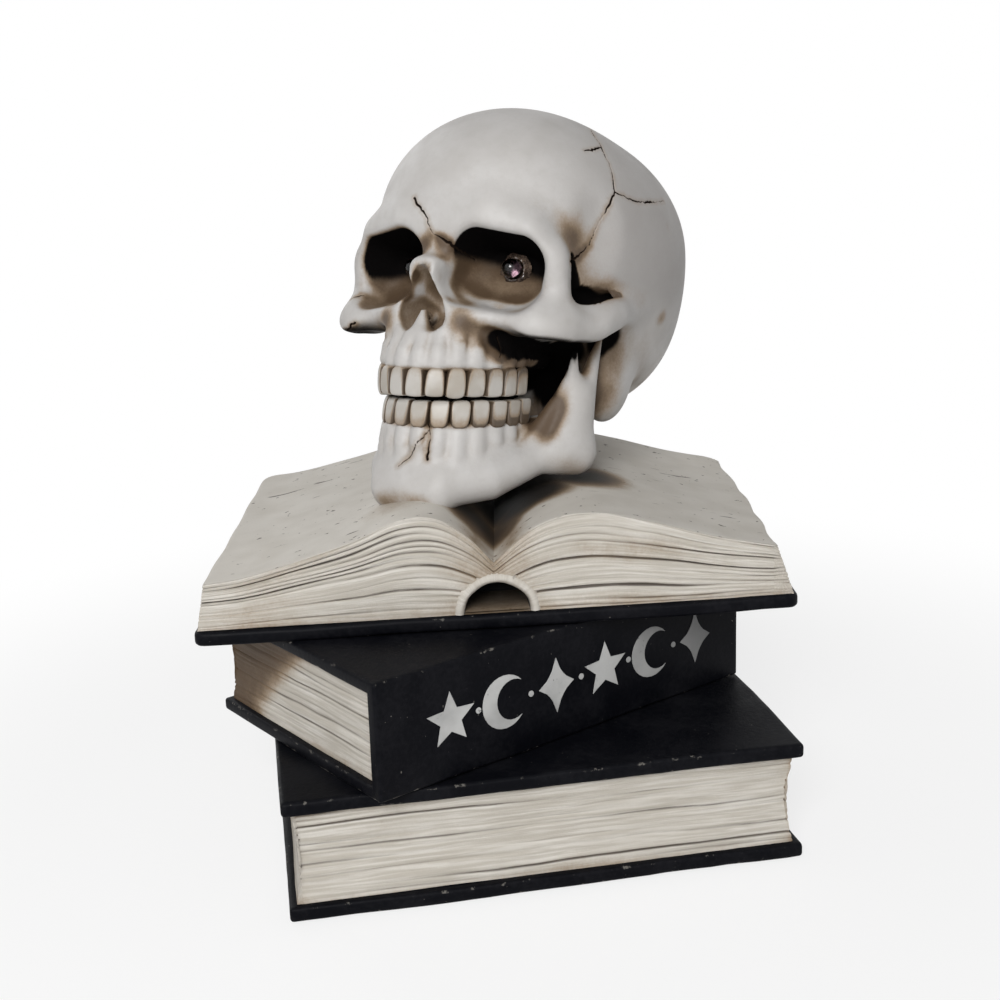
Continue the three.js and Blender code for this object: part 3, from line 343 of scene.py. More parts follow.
skullPose = {"place": (76.4, 85.4, 130.9), "turn": -44.1, "tip": -13.9, "lean": -0.4}
skullMatrix = (
    Matrix.Translation(stackCorner + Vector(skullPose["place"]) * mm)
    @ Matrix.Rotation(math.radians(skullPose["turn"]), 4, "Z")
    @ Matrix.Rotation(math.radians(skullPose["tip"]), 4, "X")
    @ Matrix.Rotation(math.radians(skullPose["lean"]), 4, "Y")
    @ Matrix.Scale(mm, 4)
)
toSkull = skullMatrix.inverted()

# Round masses: middle and radii
vault = ((0, 10, 20.5), (40.2, 48.4, 36))
forehead = ((0, -9, 25), (34, 32, 30))
nape = ((0, 25, 2), (32.5, 30, 27))
cheekMass = ((14, -20, 6), (19, 13, 17))
noseMass = ((0, -26, 2), (8, 10, 13))
maxilla = ((0, -25.5, -9), (16.4, 17, 11))
cheekbone = ((26.8, -31.6, -5.8), (8.6, 7.4, 6.6))
mastoid = ((25.5, 9.5, -13), (6.5, 10.5, 14))
cheekHollow = ((27, -25, -16.5), (11.4, 17, 9.6))
fossa = ((18.8, -39, -11.6), (8, 8.4, 5.2))
templeHollow = ((40.3, -21.5, 17), (7.8, 9, 17))
mouthHollow = ((0, -18, -27), (15, 20, 12))
mouthDark = ((0, -15, -24), (26, 24, 15))
noseHoleTop = ((0, -46, 0.6), (3.8, 13, 8))
noseHoleFoot = ((3.8, -45, -4), (3.5, 12, 4.3))
# Bars: chains of x, y, z and radius
browBar = [(0, -32.4, 22, 4), (13, -36, 22, 4.2), (24, -33.6, 18.4, 4.4), (29.5, -29.4, 11.5, 4)]
orbitBar = [(29.5, -29, 12, 3.8), (30.6, -28.6, 4, 4), (29.3, -30.2, -4, 5)]
cheekBar = [(27, -32, -4.5, 4.8), (18, -36.5, -4.8, 4), (11, -39, -3, 3.6)]
cheekArch = [(32, -26, -5.6, 4.8), (35.6, -16, -2.8, 4), (36.2, -8, 0.2, 3.2), (34.3, 0, 2.6, 2.4), (32.6, 8, 4.4, 2)]
cheekArchTop = [(32.5, -24.5, -2, 3), (35.8, -15, 0.4, 2.6), (36.3, -7, 2.2, 2), (34.2, 0, 3.8, 1.6), (32, 8, 5, 1.4)]
noseBridge = [(0, -32, 19, 3.2), (0, -33.2, 14, 2.6), (0, -43.5, 7.2, 3.2)]
noseRim = [(2.4, -43, 6.8, 3.1), (6.6, -41.6, 0.4, 3.2), (8.4, -41, -5.4, 2.8), (6.6, -40.8, -9.4, 2.1)]
noseWall = [(2.4, -33.6, 11.5, 2.2), (6, -37.6, 4, 3.4), (10.5, -37, -4, 4.6)]
noseSpine = [(0, -43.4, -9.5, 3.2), (0, -43, -3.2, 0.8), (0, -40, -4.5, 1)]
templeSlot = [
    (31.6, -23.8, 14, 0.6), (31.2, -23, 9, 2), (31.4, -22.2, 3.8, 2.9), (33.6, -14, 4.6, 2.2), (35.4, -5.5, 5.9, 1.2),
]
jawBar = [
    (0, -40, -47.5, 6.2), (7.5, -39, -47.5, 6.2), (15.5, -30, -44.6, 6), (22.5, -17, -38.2, 4.4),
    (27.6, -7.8, -36.4, 5.2),
]
chinBar = [(0, -41.8, -50.6, 4.2), (7, -41, -50.6, 4.2)]
ramusBack = [(28, -7.6, -35.5, 4.6), (28.5, -6, -21, 3), (28.8, -3.4, -11, 1.7), (29, -1, -4, 0.6)]
ramusFront = [(25.5, -14, -36, 4), (27, -10.8, -22, 2.8), (27.5, -11.4, -9, 0.7)]
molarWeb = [(20.5, -20, -37, 3), (22.8, -16.2, -29, 2.4), (26, -12, -18, 0.8)]
ramusPlate = [(27, -10.5, -34, 4.2), (28, -8.6, -20, 2.4)]
eyeSocket = {
    "at": (16.7, -36, 8.2), "half": (13, 9.3), "corner": 7.6, "turn": 12, "droop": 7, "depth": 11, "slope": 0.6,
    "taper": 0.3,
}
upperGum = {
    "low": -16, "high": -8.5, "fall": 0.24, "taper": 0.018, "radius": 2.8, "halfWidth": 16.6, "reach": 20.2,
    "middle": -25,
}
lowerGum = {
    "low": -44, "high": -34.5, "fall": 0, "taper": 0, "radius": 3, "halfWidth": 16.4, "reach": 19.2, "middle": -22.5,
}
upperTeeth = {
    "up": 1, "tip": -24.9, "neck": -17.6, "halfWidth": 17.4, "reach": 20.8, "middle": -25.8, "root": 11, "lean": 1.6,
}
lowerTeeth = {
    "up": -1, "tip": -26.4, "neck": -33.4, "halfWidth": 17, "reach": 20.2, "middle": -23.3, "root": 11.5, "lean": 0,
}
tooth = {"width": 4.95, "between": 0.55, "thickness": 4.8, "round": 1.4, "perSide": 7}
biteTilt, biteFront = 0.13, -44.5
neck = {"x": 74, "y": 83, "foot": 65, "top": 118, "footRadius": 10, "topRadius": 12}


def blend(a, b, k):
    return np.minimum(a, b) - np.maximum(k - np.abs(a - b), 0) ** 2 / (4 * k)


def carve(a, b, k):
    return -blend(-a, b, k)


def egg(p, form):
    at, radii = np.array(form[0], float), np.array(form[1], float)
    q = (p - at) / radii
    k = np.sqrt((q * q).sum(1))
    return k * (k - 1) / np.maximum(np.sqrt(((q / radii) ** 2).sum(1)), 1e-6)


def bar(p, points):
    nearest = None
    for a, b in zip(points[:-1], points[1:]):
        start, along = np.array(a[:3], float), np.array(b[:3], float) - np.array(a[:3], float)
        t = np.clip((p - start) @ along / (along @ along), 0, 1)
        far = np.linalg.norm(p - start - t[:, None] * along, axis=1) - a[3] - (b[3] - a[3]) * t
        nearest = far if nearest is None else np.minimum(nearest, far)
    return nearest


# Steps on a form: how each mass or bar is joined, and how softly
def shaped(p, form, steps):
    for join, part, k in steps:
        form = join(form, bar(p, part) if isinstance(part, list) else egg(p, part), k)
    return form


# Height of the bite at a depth in the mouth, over its height at the front teeth
def biteRise(y):
    return biteTilt * (y - biteFront)


def biteLevel(p):
    return p[:, 2] - biteRise(p[:, 1])


# Upright bar bent round the dental arch
def gumBar(p, gum):
    x, y, z = p[:, 0], p[:, 1] - gum["middle"], biteLevel(p)
    front = np.minimum(y, 0)
    shrink = 1 - gum["taper"] * np.clip(z - gum["low"], 0, 12)
    halfWidth, reach = gum["halfWidth"] * shrink, gum["reach"] * shrink
    k = np.hypot(x / halfWidth, front / reach)
    slope = np.hypot(x / halfWidth**2, front / reach**2)
    aside = np.abs(np.where(y < 0, k * (k - 1) / np.maximum(slope, 1e-6), x - halfWidth))
    leg = gum["reach"] * 0.7
    aside = np.where(y > leg, np.hypot(aside, y - leg), aside)
    high = gum["high"] - gum["fall"] * np.maximum(p[:, 1] - biteFront, 0)
    above = np.maximum(np.maximum(gum["low"] - z, z - high), 0)
    return np.hypot(aside, above) - gum["radius"]


socketTurn, socketDroop = math.radians(eyeSocket["turn"]), math.radians(eyeSocket["droop"])
socketAxes = np.array(Matrix.Rotation(socketTurn, 3, "Z") @ Matrix.Rotation(socketDroop, 3, "Y"))


def inSocket(p):
    return (p - np.array(eyeSocket["at"])) @ socketAxes


def socketForm(p):
    q = inSocket(p)
    depth, corner = eyeSocket["depth"], eyeSocket["corner"]
    narrow = np.clip(1 - q[:, 1] / depth * eyeSocket["taper"], 1 - eyeSocket["taper"], 1.25)
    dx, dz = (np.abs(q[:, axis]) - (half - corner) * narrow for axis, half in zip((0, 2), eyeSocket["half"]))
    wall = np.hypot(np.maximum(dx, 0), np.maximum(dz, 0)) + np.minimum(np.maximum(dx, dz), 0) - corner * narrow
    return carve(wall, -(q[:, 1] - depth - eyeSocket["slope"] * q[:, 2]), 5)


# Places of the teeth on the right half of an arch: x, y and the way outwards
def toothPlaces(row):
    angle = np.linspace(0, math.pi / 2, 300)
    x, y = row["halfWidth"] * np.sin(angle), row["middle"] - row["reach"] * np.cos(angle)
    run = np.concatenate([[0], np.cumsum(np.hypot(np.diff(x), np.diff(y)))])
    places = []
    for n in range(tooth["perSide"]):
        along = (n + 0.5) * tooth["width"]
        if along < run[-1]:
            a = np.interp(along, run, angle)
            out = Vector((math.sin(a) / row["halfWidth"], -math.cos(a) / row["reach"])).normalized()
            places.append((np.interp(along, run, x), np.interp(along, run, y), out.x, out.y))
        else:
            places.append((row["halfWidth"], row["middle"] + along - run[-1], 1.0, 0.0))
    return places


rootLength = (0.75, 0.8, 1.15, 0.85, 0.5, 0.35, 0.3)
rootSwell = ((0.12, 0.3, 1.95), (0.5, 0.9, 1.9), (1, 0, 1.3))  # share of the length, offset outwards and radius


# Ridges that the roots raise on the bone
def rootBars(row):
    bars = []
    for share, (x, y, outX, outY) in zip(rootLength, toothPlaces(row)):
        start = row["neck"] + biteRise(y)
        length = row["up"] * row["root"] * share
        chain = []
        for part, offset, radius in rootSwell:
            off = offset - row["lean"] * part
            chain.append((x + off * outX, y + off * outY, start + length * part, radius))
        bars.append(chain)
    return bars


def toothForm(p, row):
    tall = abs(row["tip"] - row["neck"]) / 2
    size = np.array([tooth["width"] / 2 - tooth["between"] / 2, tooth["thickness"] / 2, tall])
    level = biteLevel(p) - (row["tip"] + row["neck"]) / 2
    nearest = np.full(len(p), 1e3)
    for x, y, outX, outY in toothPlaces(row):
        across = (p[:, 0] - x) * -outY + (p[:, 1] - y) * outX
        out = (p[:, 0] - x) * outX + (p[:, 1] - y) * outY
        q = np.abs(np.stack([across, out, level], 1)) - size + tooth["round"]
        far = np.linalg.norm(np.maximum(q, 0), axis=1) + np.minimum(q.max(1), 0) - tooth["round"]
        nearest = np.minimum(nearest, far)
    return nearest


def halved(p):
    return np.abs(p * np.array([1, 0, 0])) + p * np.array([0, 1, 1])


headSteps = [
    (blend, forehead, 10), (blend, nape, 12), (blend, cheekMass, 6), (blend, noseMass, 4), (blend, browBar, 7),
    (blend, orbitBar, 4), (blend, cheekbone, 4), (blend, cheekBar, 4), (blend, cheekArch, 6),
    (blend, cheekArchTop, 5), (blend, maxilla, 5), (carve, cheekHollow, 5), (carve, fossa, 4),
]
faceSteps = [(blend, chain, 1.8) for chain in rootBars(upperTeeth)] + [(blend, noseRim, 2.5), (blend, noseWall, 4)]
openingSteps = [
    (blend, noseSpine, 1.6), (carve, templeHollow, 5), (carve, templeSlot, 0.9), (carve, mouthHollow, 4),
    (blend, mastoid, 6),
]
ramusSteps = [(blend, chain, 1.8) for chain in rootBars(lowerTeeth)] + [
    (blend, ramusBack, 5), (blend, ramusFront, 5), (blend, ramusPlate, 4), (blend, molarWeb, 2)]


# The outside of the cranium before the sockets, the nose and the hollows are cut
def faceForm(p):
    head = shaped(p, egg(p, vault), headSteps)
    return shaped(p, blend(head, gumBar(p, upperGum), 4), faceSteps)


def craniumForm(point):
    p = halved(point)
    face = blend(carve(faceForm(p), socketForm(p), 1.5), bar(p, noseBridge), 4)
    noseHole = blend(egg(p, noseHoleFoot), egg(p, noseHoleTop), 4)
    return blend(shaped(p, carve(face, noseHole, 0.9), openingSteps), neckBar(point), 6)


# Stub of neck that carries the skull, upright in the stack
def neckBar(p):
    turn = np.array(skullMatrix.to_3x3()) / mm
    x, y, z = (p @ turn.T + np.array(skullPose["place"])).T
    t = np.clip((z - neck["foot"]) / (neck["top"] - neck["foot"]), 0, 1)
    side = np.hypot(x - neck["x"], y - neck["y"]) - neck["footRadius"] - (neck["topRadius"] - neck["footRadius"]) * t
    return np.maximum(np.maximum(side, z - neck["top"]), neck["foot"] - z)


def jawForm(point):
    p = halved(point)
    body = blend(bar(p, jawBar), bar(p, chinBar), 4)
    return shaped(p, blend(body, gumBar(p, lowerGum), 4), ramusSteps)


def skullForm(point):
    p = halved(point)
    teeth = np.minimum(toothForm(p, upperTeeth), toothForm(p, lowerTeeth))
    return np.minimum(np.minimum(craniumForm(point), jawForm(point)), teeth)


# Points moved onto the surface of a form, less what is carved there, with the way outwards
def drawOnto(form, p, rounds, carved):
    step, longest = 0.04, 1.2
    for turn in range(rounds):
        here = form(p)
        slope = np.stack([form(p + step * axis) - here for axis in np.eye(3)], 1) / step
        steep = np.maximum((slope**2).sum(1), 0.15)
        p = p - slope * np.clip((here + carved) / steep, -longest, longest)[:, None]
    length = np.linalg.norm(slope, axis=1, keepdims=True)
    return p, slope / np.maximum(length, 1e-6)


def evenFaces(obj, voxel):
    remesh = obj.modifiers.new("even", "REMESH")
    remesh.mode = "VOXEL"
    remesh.voxel_size = voxel


# Loose solids as one object that is merged into even faces
def mergedSolid(name, bm, voxel):
    mesh = bpy.data.meshes.new(name)
    bm.to_mesh(mesh)
    bm.free()
    obj = addObject(name, mesh)
    evenFaces(obj, voxel)
    return obj


def addCones(bm, cones):
    for where, foot, tip, depth in cones:
        bmesh.ops.create_cone(
            bm, cap_ends=True, cap_tris=True, segments=24, radius1=foot, radius2=tip, depth=depth, matrix=where)


def addEggs(bm, eggs):
    for (x, y, z), radii in eggs:
        for side in (1, -1):
            where = skullMatrix @ Matrix.Translation((x * side, y, z)) @ Matrix.Diagonal((*radii, 1))
            bmesh.ops.create_uvsphere(bm, u_segments=32, v_segments=16, radius=1, matrix=where)


# Even mesh over a merged copy of a CAD node. Plugs close its bores or stand in for walls finer than its faces;
# eggs and slots are opened afterwards, and posts are set into the openings.
def castingMesh(node, voxel, plugs, eggs=(), slots=(), posts=()):
    bm = bmesh.new()
    bm.from_mesh(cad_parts[node].data)
    bmesh.ops.remove_doubles(bm, verts=bm.verts, dist=1e-6)
    addCones(bm, plugs)
    pieces = [mergedSolid("casting", bm, voxel)]
    if eggs:
        for operation, balls, cones in (("DIFFERENCE", eggs, slots), ("UNION", (), posts)):
            bm = bmesh.new()
            addEggs(bm, balls)
            addCones(bm, cones)
            pieces.append(mergedSolid("cutter", bm, voxel))
            step = pieces[0].modifiers.new("opening", "BOOLEAN")
            step.operation, step.solver, step.object = operation, "MANIFOLD", pieces[-1]
        evenFaces(pieces[0], voxel)
    rebuilt = bpy.data.meshes.new_from_object(pieces[0].evaluated_get(bpy.context.evaluated_depsgraph_get()))
    for obj in pieces:
        mesh = obj.data
        bpy.data.objects.remove(obj)
        bpy.data.meshes.remove(mesh)
    return rebuilt


skullDetail = {
    "craniumVoxel": 0.72, "jawVoxel": 0.6, "crackReach": 1.6, "crackWidth": (0.24, 0.72), "crackDepth": 0.4,
    "crackJitter": 0.35, "crackStep": 0.2, "crackStain": 0.4, "crackStainReach": (0.4, 2.2), "washGain": 1.45,
    "washMost": 1.4, "napeWash": 0.5, "flankShade": 0.8, "crownShade": 0.45, "sideShadeMost": 0.9,
}
roomAround = ((2.0, 0.3), (4.5, 0.35), (9.0, 0.35))  # distance at which free room is felt, and its share

# Cracks, point to point: picture points where the picture shows them, skull points behind
craniumCracks = [
    [(589, 128), (595, 137), (601, 145), (603, 151), (606, 157), (611, 167), (613, 177), (615, 192)],
    [(615, 192), (624, 196), (634, 201), (645, 202), (655, 202), (664, 201), (672, 200), (677, 200)],
    [(615, 192), (606, 211), (599, 222), (594, 233), (590, 244), (584, 251), (576, 258), (570, 263)],
    [(601, 147), (592, 150), (584, 150)],
    [(414, 198), (418, 205), (423, 211), (427, 219), (428, 225), (432, 232), (437, 236), (445, 240), (453, 246),
     (467, 255), (476, 261)],
    [(364, 295), (358, 296), (351, 299)],
    [(355, 323), (351, 326), (347, 331)],
    [(498, 338), (501, 348), (500, 358)],
    [(-1, 44, 48), (1, 49, 44), (0, 54, 37), (6, 54, 31), (13, 52, 27), (20, 47, 20), (26, 41, 13), (30, 34, 5)],
    [(0, 54, 37), (-5, 54.5, 32), (-12, 52, 25), (-19, 48, 19), (-25, 42, 10), (-29, 36, 4)],
    [(20, 47, 20), (24, 46, 24), (29, 40, 26)],
]
jawCracks = [
    [(428, 421), (430, 429), (424, 437), (417, 443), (413, 451), (409, 458), (403, 462), (397, 467)],
    [(430, 429), (430, 440), (428, 450), (427, 460)],
]
# Extra brown wash, partly painted shade, where the picture shows it: picture point, reach in millimetres and strength
craniumWashAndShade = [
    (566, 227, 8, 0.36), (574, 250, 8, 0.5), (581, 278, 9, 0.6), (600, 294, 8, 0.35), (457, 323, 6, 0.3),
    (473, 329, 7, 0.45), (488, 338, 6, 0.65), (498, 347, 6, 0.8), (462, 265, 5, 0.5), (449, 262, 4, 0.45),
    (457, 285, 5, 0.5), (616, 352, 10, 0.5), (610, 378, 11, 0.5), (604, 402, 10, 0.6), (375, 334, 6, 0.7),
    (660, 323, 8, 0.2), (640, 350, 8, 0.25), (577, 232, 9, 0.3), (583, 243, 9, 0.3), (545, 405, 8, 0.9),
    (552, 396, 8, 0.9), (548, 414, 8, 0.9), (497, 352, 5, 0.5), (506, 357, 5, 0.7), (515, 362, 5, 0.8),
    (525, 362, 5, 0.8), (532, 362, 5, 1.0), (522, 359, 5, 0.6), (484, 297, 5, 0.45), (506, 301, 5, 0.45),
    (473, 290, 5, 0.4), (522, 301, 5, 0.4), (492, 334, 6, 0.6), (446, 246, 5, 0.55), (441, 240, 4, 0.45),
    (452, 252, 4, 0.45), (459, 316, 5, 0.4), (463, 322, 5, 0.4), (661, 180, 4, 0.35), (662, 317, 4, 0.55),
    (668, 228, 4, 0.3), (640, 300, 6, 0.2), (441, 284, 4, -0.7), (446, 292, 4, -0.6),
]
jawWashAndShade = [
    (553, 398, 8, 0.8), (540, 420, 9, 0.8), (557, 412, 6, 0.55), (548, 434, 6, 0.5), (383, 503, 6, 0.4),
    (402, 500, 6, 0.5), (419, 505, 6, 0.45), (545, 405, 8, 0.6), (548, 414, 8, 0.6), (561, 466, 7, 0.4),
    (577, 472, 7, 0.5),
]
# Black, partly dark paint and partly painted shade, where the picture shows it: picture point and reach in millimetres
craniumBlackAndShade = [
    (498, 338, 4), (503, 343, 4), (515, 348, 6), (525, 354, 7), (535, 353, 7), (550, 355, 8), (565, 350, 7),
    (560, 368, 8), (545, 372, 9), (530, 366, 8), (520, 360, 6), (548, 386, 8), (563, 384, 7), (608, 338, 5),
    (600, 342, 5),
]
jawBlackAndShade = [(577, 352, 4), (574, 362, 4)]


def castPoint(px, py, tree):
    return tree.ray_cast(toSkull @ eyePoint, (toSkull.to_3x3() @ sightLine(px, py)).normalized())[0]


def crackTree(strokes, tree):
    points = []
    for stroke in strokes:
        hits = [castPoint(*at, tree) if len(at) == 2 else Vector(at) for at in stroke]
        hits = [hit for hit in hits if hit]
        for a, b in zip(hits[:-1], hits[1:]):
            steps = max(2, int((b - a).length / skullDetail["crackStep"]))
            for i in range(steps):
                at = tree.find_nearest(a.lerp(b, i / steps))[0]
                points.append(at + fractal.noise_vector(at * 0.9) * skullDetail["crackJitter"])
    found = kdtree.KDTree(len(points))
    for i, point in enumerate(points):
        found.insert(point, i)
    found.balance()
    return found


def farFrom(tree, places):
    return np.array([tree.find(p)[2] for p in places])


# Cracks that thicken and thin out along their run, 1 at the middle of a crack
def crackOn(places, far):
    thin, thick = skullDetail["crackWidth"]
    uneven = np.array([fractal.noise(Vector(at) * 0.16 + Vector((4.0, 0, 0))) for at in places])
    width = thin + (thick - thin) * np.clip(uneven * 0.9 + 0.42, 0, 1)
    return (1 - ease(0.05, width, far)) * np.clip(0.8 + 0.7 * uneven, 0.4, 1)


# Wash in hollows, with painted shade in them, beside cracks and low on the nape
def hollowOn(places, out, crackFar):
    room = sum(np.clip(skullForm(places + out * reach) / reach, 0, 1) * share for reach, share in roomAround)
    hollow = skullDetail["washGain"] * (1 - room)
    hollow += skullDetail["crackStain"] * (1 - ease(*skullDetail["crackStainReach"], crackFar))
    return hollow + skullDetail["napeWash"] * ease(4, -18, places[:, 2]) * ease(12, 34, places[:, 1])


# Painted shade: greyer bone on the flanks and the crown, where the light falls off
def sideShadeOn(x, y, z):
    look = skullDetail
    flank = ease(7, 47, np.abs(x) + 0.3 * y) * ease(-8, 12, z)
    return np.clip(look["flankShade"] * flank + look["crownShade"] * ease(34, 56, z), 0, look["sideShadeMost"])


# Black, partly dark paint and partly painted shade: upper half of the sockets, the deep of the mouth and nose, under
# the cheek and the slot over its arch
def blackAndShadeOn(places, out):
    p = halved(places)
    q = inSocket(p)
    x, y, z = p.T
    sunk = -faceForm(p)
    within = ease(1.4, 0.4, socketForm(p)) * ease(0.9, 1.7, sunk)
    socketTop = within * ease(-3.0, 2.6, q[:, 2] - 0.6 + 0.12 * q[:, 0] - 0.1 * q[:, 1])
    slot = ease(1.0, 0.2, bar(p, templeSlot)) * ease(0.2, 1.0, sunk)
    nose = 0.75 * ease(0.8, 0.0, np.minimum(egg(p, noseHoleTop), egg(p, noseHoleFoot))) * ease(1.5, 6.0, sunk)
    underCheek = 0.8 * ease(-0.5, -1.0, out[:, 2]) * ease(17, 22, x) * ease(-18, -14, z) * ease(-5, -8, z)
    mouth = ease(1.0, -2.0, egg(p, mouthDark)) * ease(-32, -24, y) * ease(-28, -24, biteLevel(p))
    return np.clip(np.maximum.reduce([socketTop, slot, nose, underCheek, mouth]), 0, 1)


# Distance from each painted spot, the same on both sides of the skull
def nearSpots(p, spots, tree):
    for px, py, *rest in spots:
        hit = castPoint(px, py, tree)
        if hit:
            yield np.linalg.norm(p - np.array((abs(hit.x), hit.y, hit.z)), axis=1), *rest


# Black spots, partly dark paint and partly painted shade
def spotBlackAndShade(places, spots, tree):
    total = np.zeros(len(places))
    for far, reach in nearSpots(halved(places), spots, tree):
        total = np.maximum(total, 1 - ease(0.5 * reach, 1.2 * reach, far))
    return total


# Sockets are brown below, the far one more so
def spotWashAndShade(places, spots, tree):
    p = halved(places)
    farSide, sunk = places[:, 0] < 0, -faceForm(p)
    total = ease(1.4, 0.3, socketForm(p)) * np.where(farSide, ease(0.1, 1.4, sunk), 0.85 * ease(0.4, 3.2, sunk))
    for far, reach, strength in nearSpots(p, spots, tree):
        total += strength * (1 - ease(0, reach, far))
    return total


# One casting of the skull: even mesh, drawn onto its form, with cracks carved in finer faces
def carveCasting(name, node, form, voxel, strokes, spots, blackAndShadeSpots, *solids):
    rebuilt = castingMesh(node, voxel * mm, *solids)
    bm = bmesh.new()
    bm.from_mesh(rebuilt)
    bpy.data.meshes.remove(rebuilt)
    bmesh.ops.transform(bm, matrix=toSkull, verts=bm.verts)

    def settle(rounds, carved=0.0):
        places, out = drawOnto(form, np.array([v.co[:] for v in bm.verts]), rounds, carved)
        for v, at in zip(bm.verts, places):
            v.co = at
        return places, out

    settle(7)
    bmesh.ops.smooth_vert(bm, verts=bm.verts, factor=0.5, use_axis_x=True, use_axis_y=True, use_axis_z=True)
    settle(2)
    outside = BVHTree.FromBMesh(bm)
    cracks = crackTree(strokes, outside)
    for reach in (skullDetail["crackReach"], skullDetail["crackReach"] * 0.6):
        near = farFrom(cracks, [v.co for v in bm.verts]) < reach
        bm.verts.index_update()
        edges = [e for e in bm.edges if near[e.verts[0].index] and near[e.verts[1].index]]
        bmesh.ops.subdivide_edges(bm, edges=edges, cuts=1, use_grid_fill=True)
    places = np.array([v.co[:] for v in bm.verts])
    crack = crackOn(places, farFrom(cracks, places))
    places, out = settle(2, crack * skullDetail["crackDepth"])
    hollow = hollowOn(places, out, farFrom(cracks, places))
    # Black paint and painted shade; the spots only where the bone is sunk
    blackAndShade = np.maximum(blackAndShadeOn(places, out), spotBlackAndShade(places, blackAndShadeSpots, outside) * ease(0.2, 0.45, hollow))
    bmesh.ops.transform(bm, matrix=skullMatrix, verts=bm.verts)
    bmesh.ops.triangulate(bm, faces=[f for f in bm.faces if len(f.verts) > 4])
    mesh = meshPiece(name, bm, Matrix(), bonePaint, node).data
    addValues(mesh, "washAndShade", np.clip(hollow + spotWashAndShade(places, spots, outside), 0, skullDetail["washMost"]))
    addValues(mesh, "sideShade", sideShadeOn(*places.T))
    addValues(mesh, "blackAndShade", blackAndShade)
    addValues(mesh, "crack", crack)
    print(name, len(mesh.vertices), "points")


# Lamp axes: depth runs into the socket along -Z
lampSpot = {"offset": 0.9, "height": 10.3}


def lampMatrix(side):
    out = Vector((math.sin(socketTurn) * side, -math.cos(socketTurn), 0))
    up = Vector((0, 0, 1))
    axes = Matrix((up.cross(out), up, out)).transposed().to_4x4()
    mouth = Vector(((eyeSocket["at"][0] + lampSpot["offset"]) * side, eyeSocket["at"][1], lampSpot["height"]))
    return skullMatrix @ Matrix.Translation(mouth) @ axes


# A cone for a casting, given in millimetres
def plug(where, foot, tip, depth):
    return where @ Matrix.Scale(1 / mm, 4), foot * mm, tip * mm, depth * mm


# Cones along chains of points, on both sides of the skull
def chainPlugs(*chains):
    plugs = []
    for a, b in (pair for chain in chains for pair in zip(chain[:-1], chain[1:])):
        for side in (1, -1):
            start, end = (Vector((at[0] * side, at[1], at[2])) for at in (a, b))
            axes = (end - start).to_track_quat("Z", "Y").to_matrix().to_4x4()
            where = skullMatrix @ Matrix.Translation((start + end) / 2) @ axes
            plugs.append(plug(where, a[3], b[3], (end - start).length))
    return plugs


lampBore = {"depth": 13.4, "radius": 6.2, "length": 3.2}
ductBore = {"lift": 26, "radius": 5, "length": 8}


def craniumPlugs():
    plugs = []
    for side in (1, -1):
        where = lampMatrix(side) @ Matrix.Translation((0, 0, -lampBore["depth"]))
        plugs.append(plug(where, lampBore["radius"], lampBore["radius"], lampBore["length"]))
    foot = stackCorner + Vector((neck["x"], neck["y"], neck["foot"] + ductBore["lift"])) * mm
    where = Matrix.Translation(foot) @ Matrix.Scale(mm, 4)
    plugs.append(plug(where, ductBore["radius"], ductBore["radius"], ductBore["length"]))
    return plugs + chainPlugs(noseSpine, noseRim, noseWall, noseBridge, cheekArch)


# The chin's seat is filled, so that the jaw rests in the pages: places and radii, and one height
chinSeat = {"fills": ((0, -41, -50, 8.5), (8, -40, -50, 7), (-8, -40, -50, 7)), "tall": 9}


def jawPlugs():
    plugs = []
    for x, y, z, radius in chinSeat["fills"]:
        plugs.append(plug(skullMatrix @ Matrix.Translation((x, y, z)), radius, radius, chinSeat["tall"]))
    return plugs + chainPlugs(ramusBack, ramusFront, molarWeb)


coarse = 1.0
carveCasting(
    "skullCranium", "skull_cranium", craniumForm, skullDetail["craniumVoxel"] * coarse,
    craniumCracks, craniumWashAndShade, craniumBlackAndShade,
    craniumPlugs(), (noseHoleTop, noseHoleFoot), chainPlugs(templeSlot), chainPlugs(noseSpine))
carveCasting(
    "skullJaw", "skull_jaw", jawForm, skullDetail["jawVoxel"] * coarse, jawCracks, jawWashAndShade, jawBlackAndShade, jawPlugs())


# Teeth: boxy rounded crowns, one row for each jaw

crownShape = {
    "level": (-1, -0.6, 0.6, 1), "wide": (1.0, 1.1, 1.0, 0.82), "deep": (0.62, 0.84, 0.92, 0.8), "grow": 1.09,
    "tipTall": 1.07, "neckTall": 0.9, "flat": 0.58, "point": 0.45, "round": 0.25, "arch": 0.9, "neckLift": 0.5,
    "uneven": 0.35, "stainAndShade": (0.42, 0.4), "molarDarker": 0.07, "lowerDarker": 0.18,
}
canine, firstMolar = 2, 4


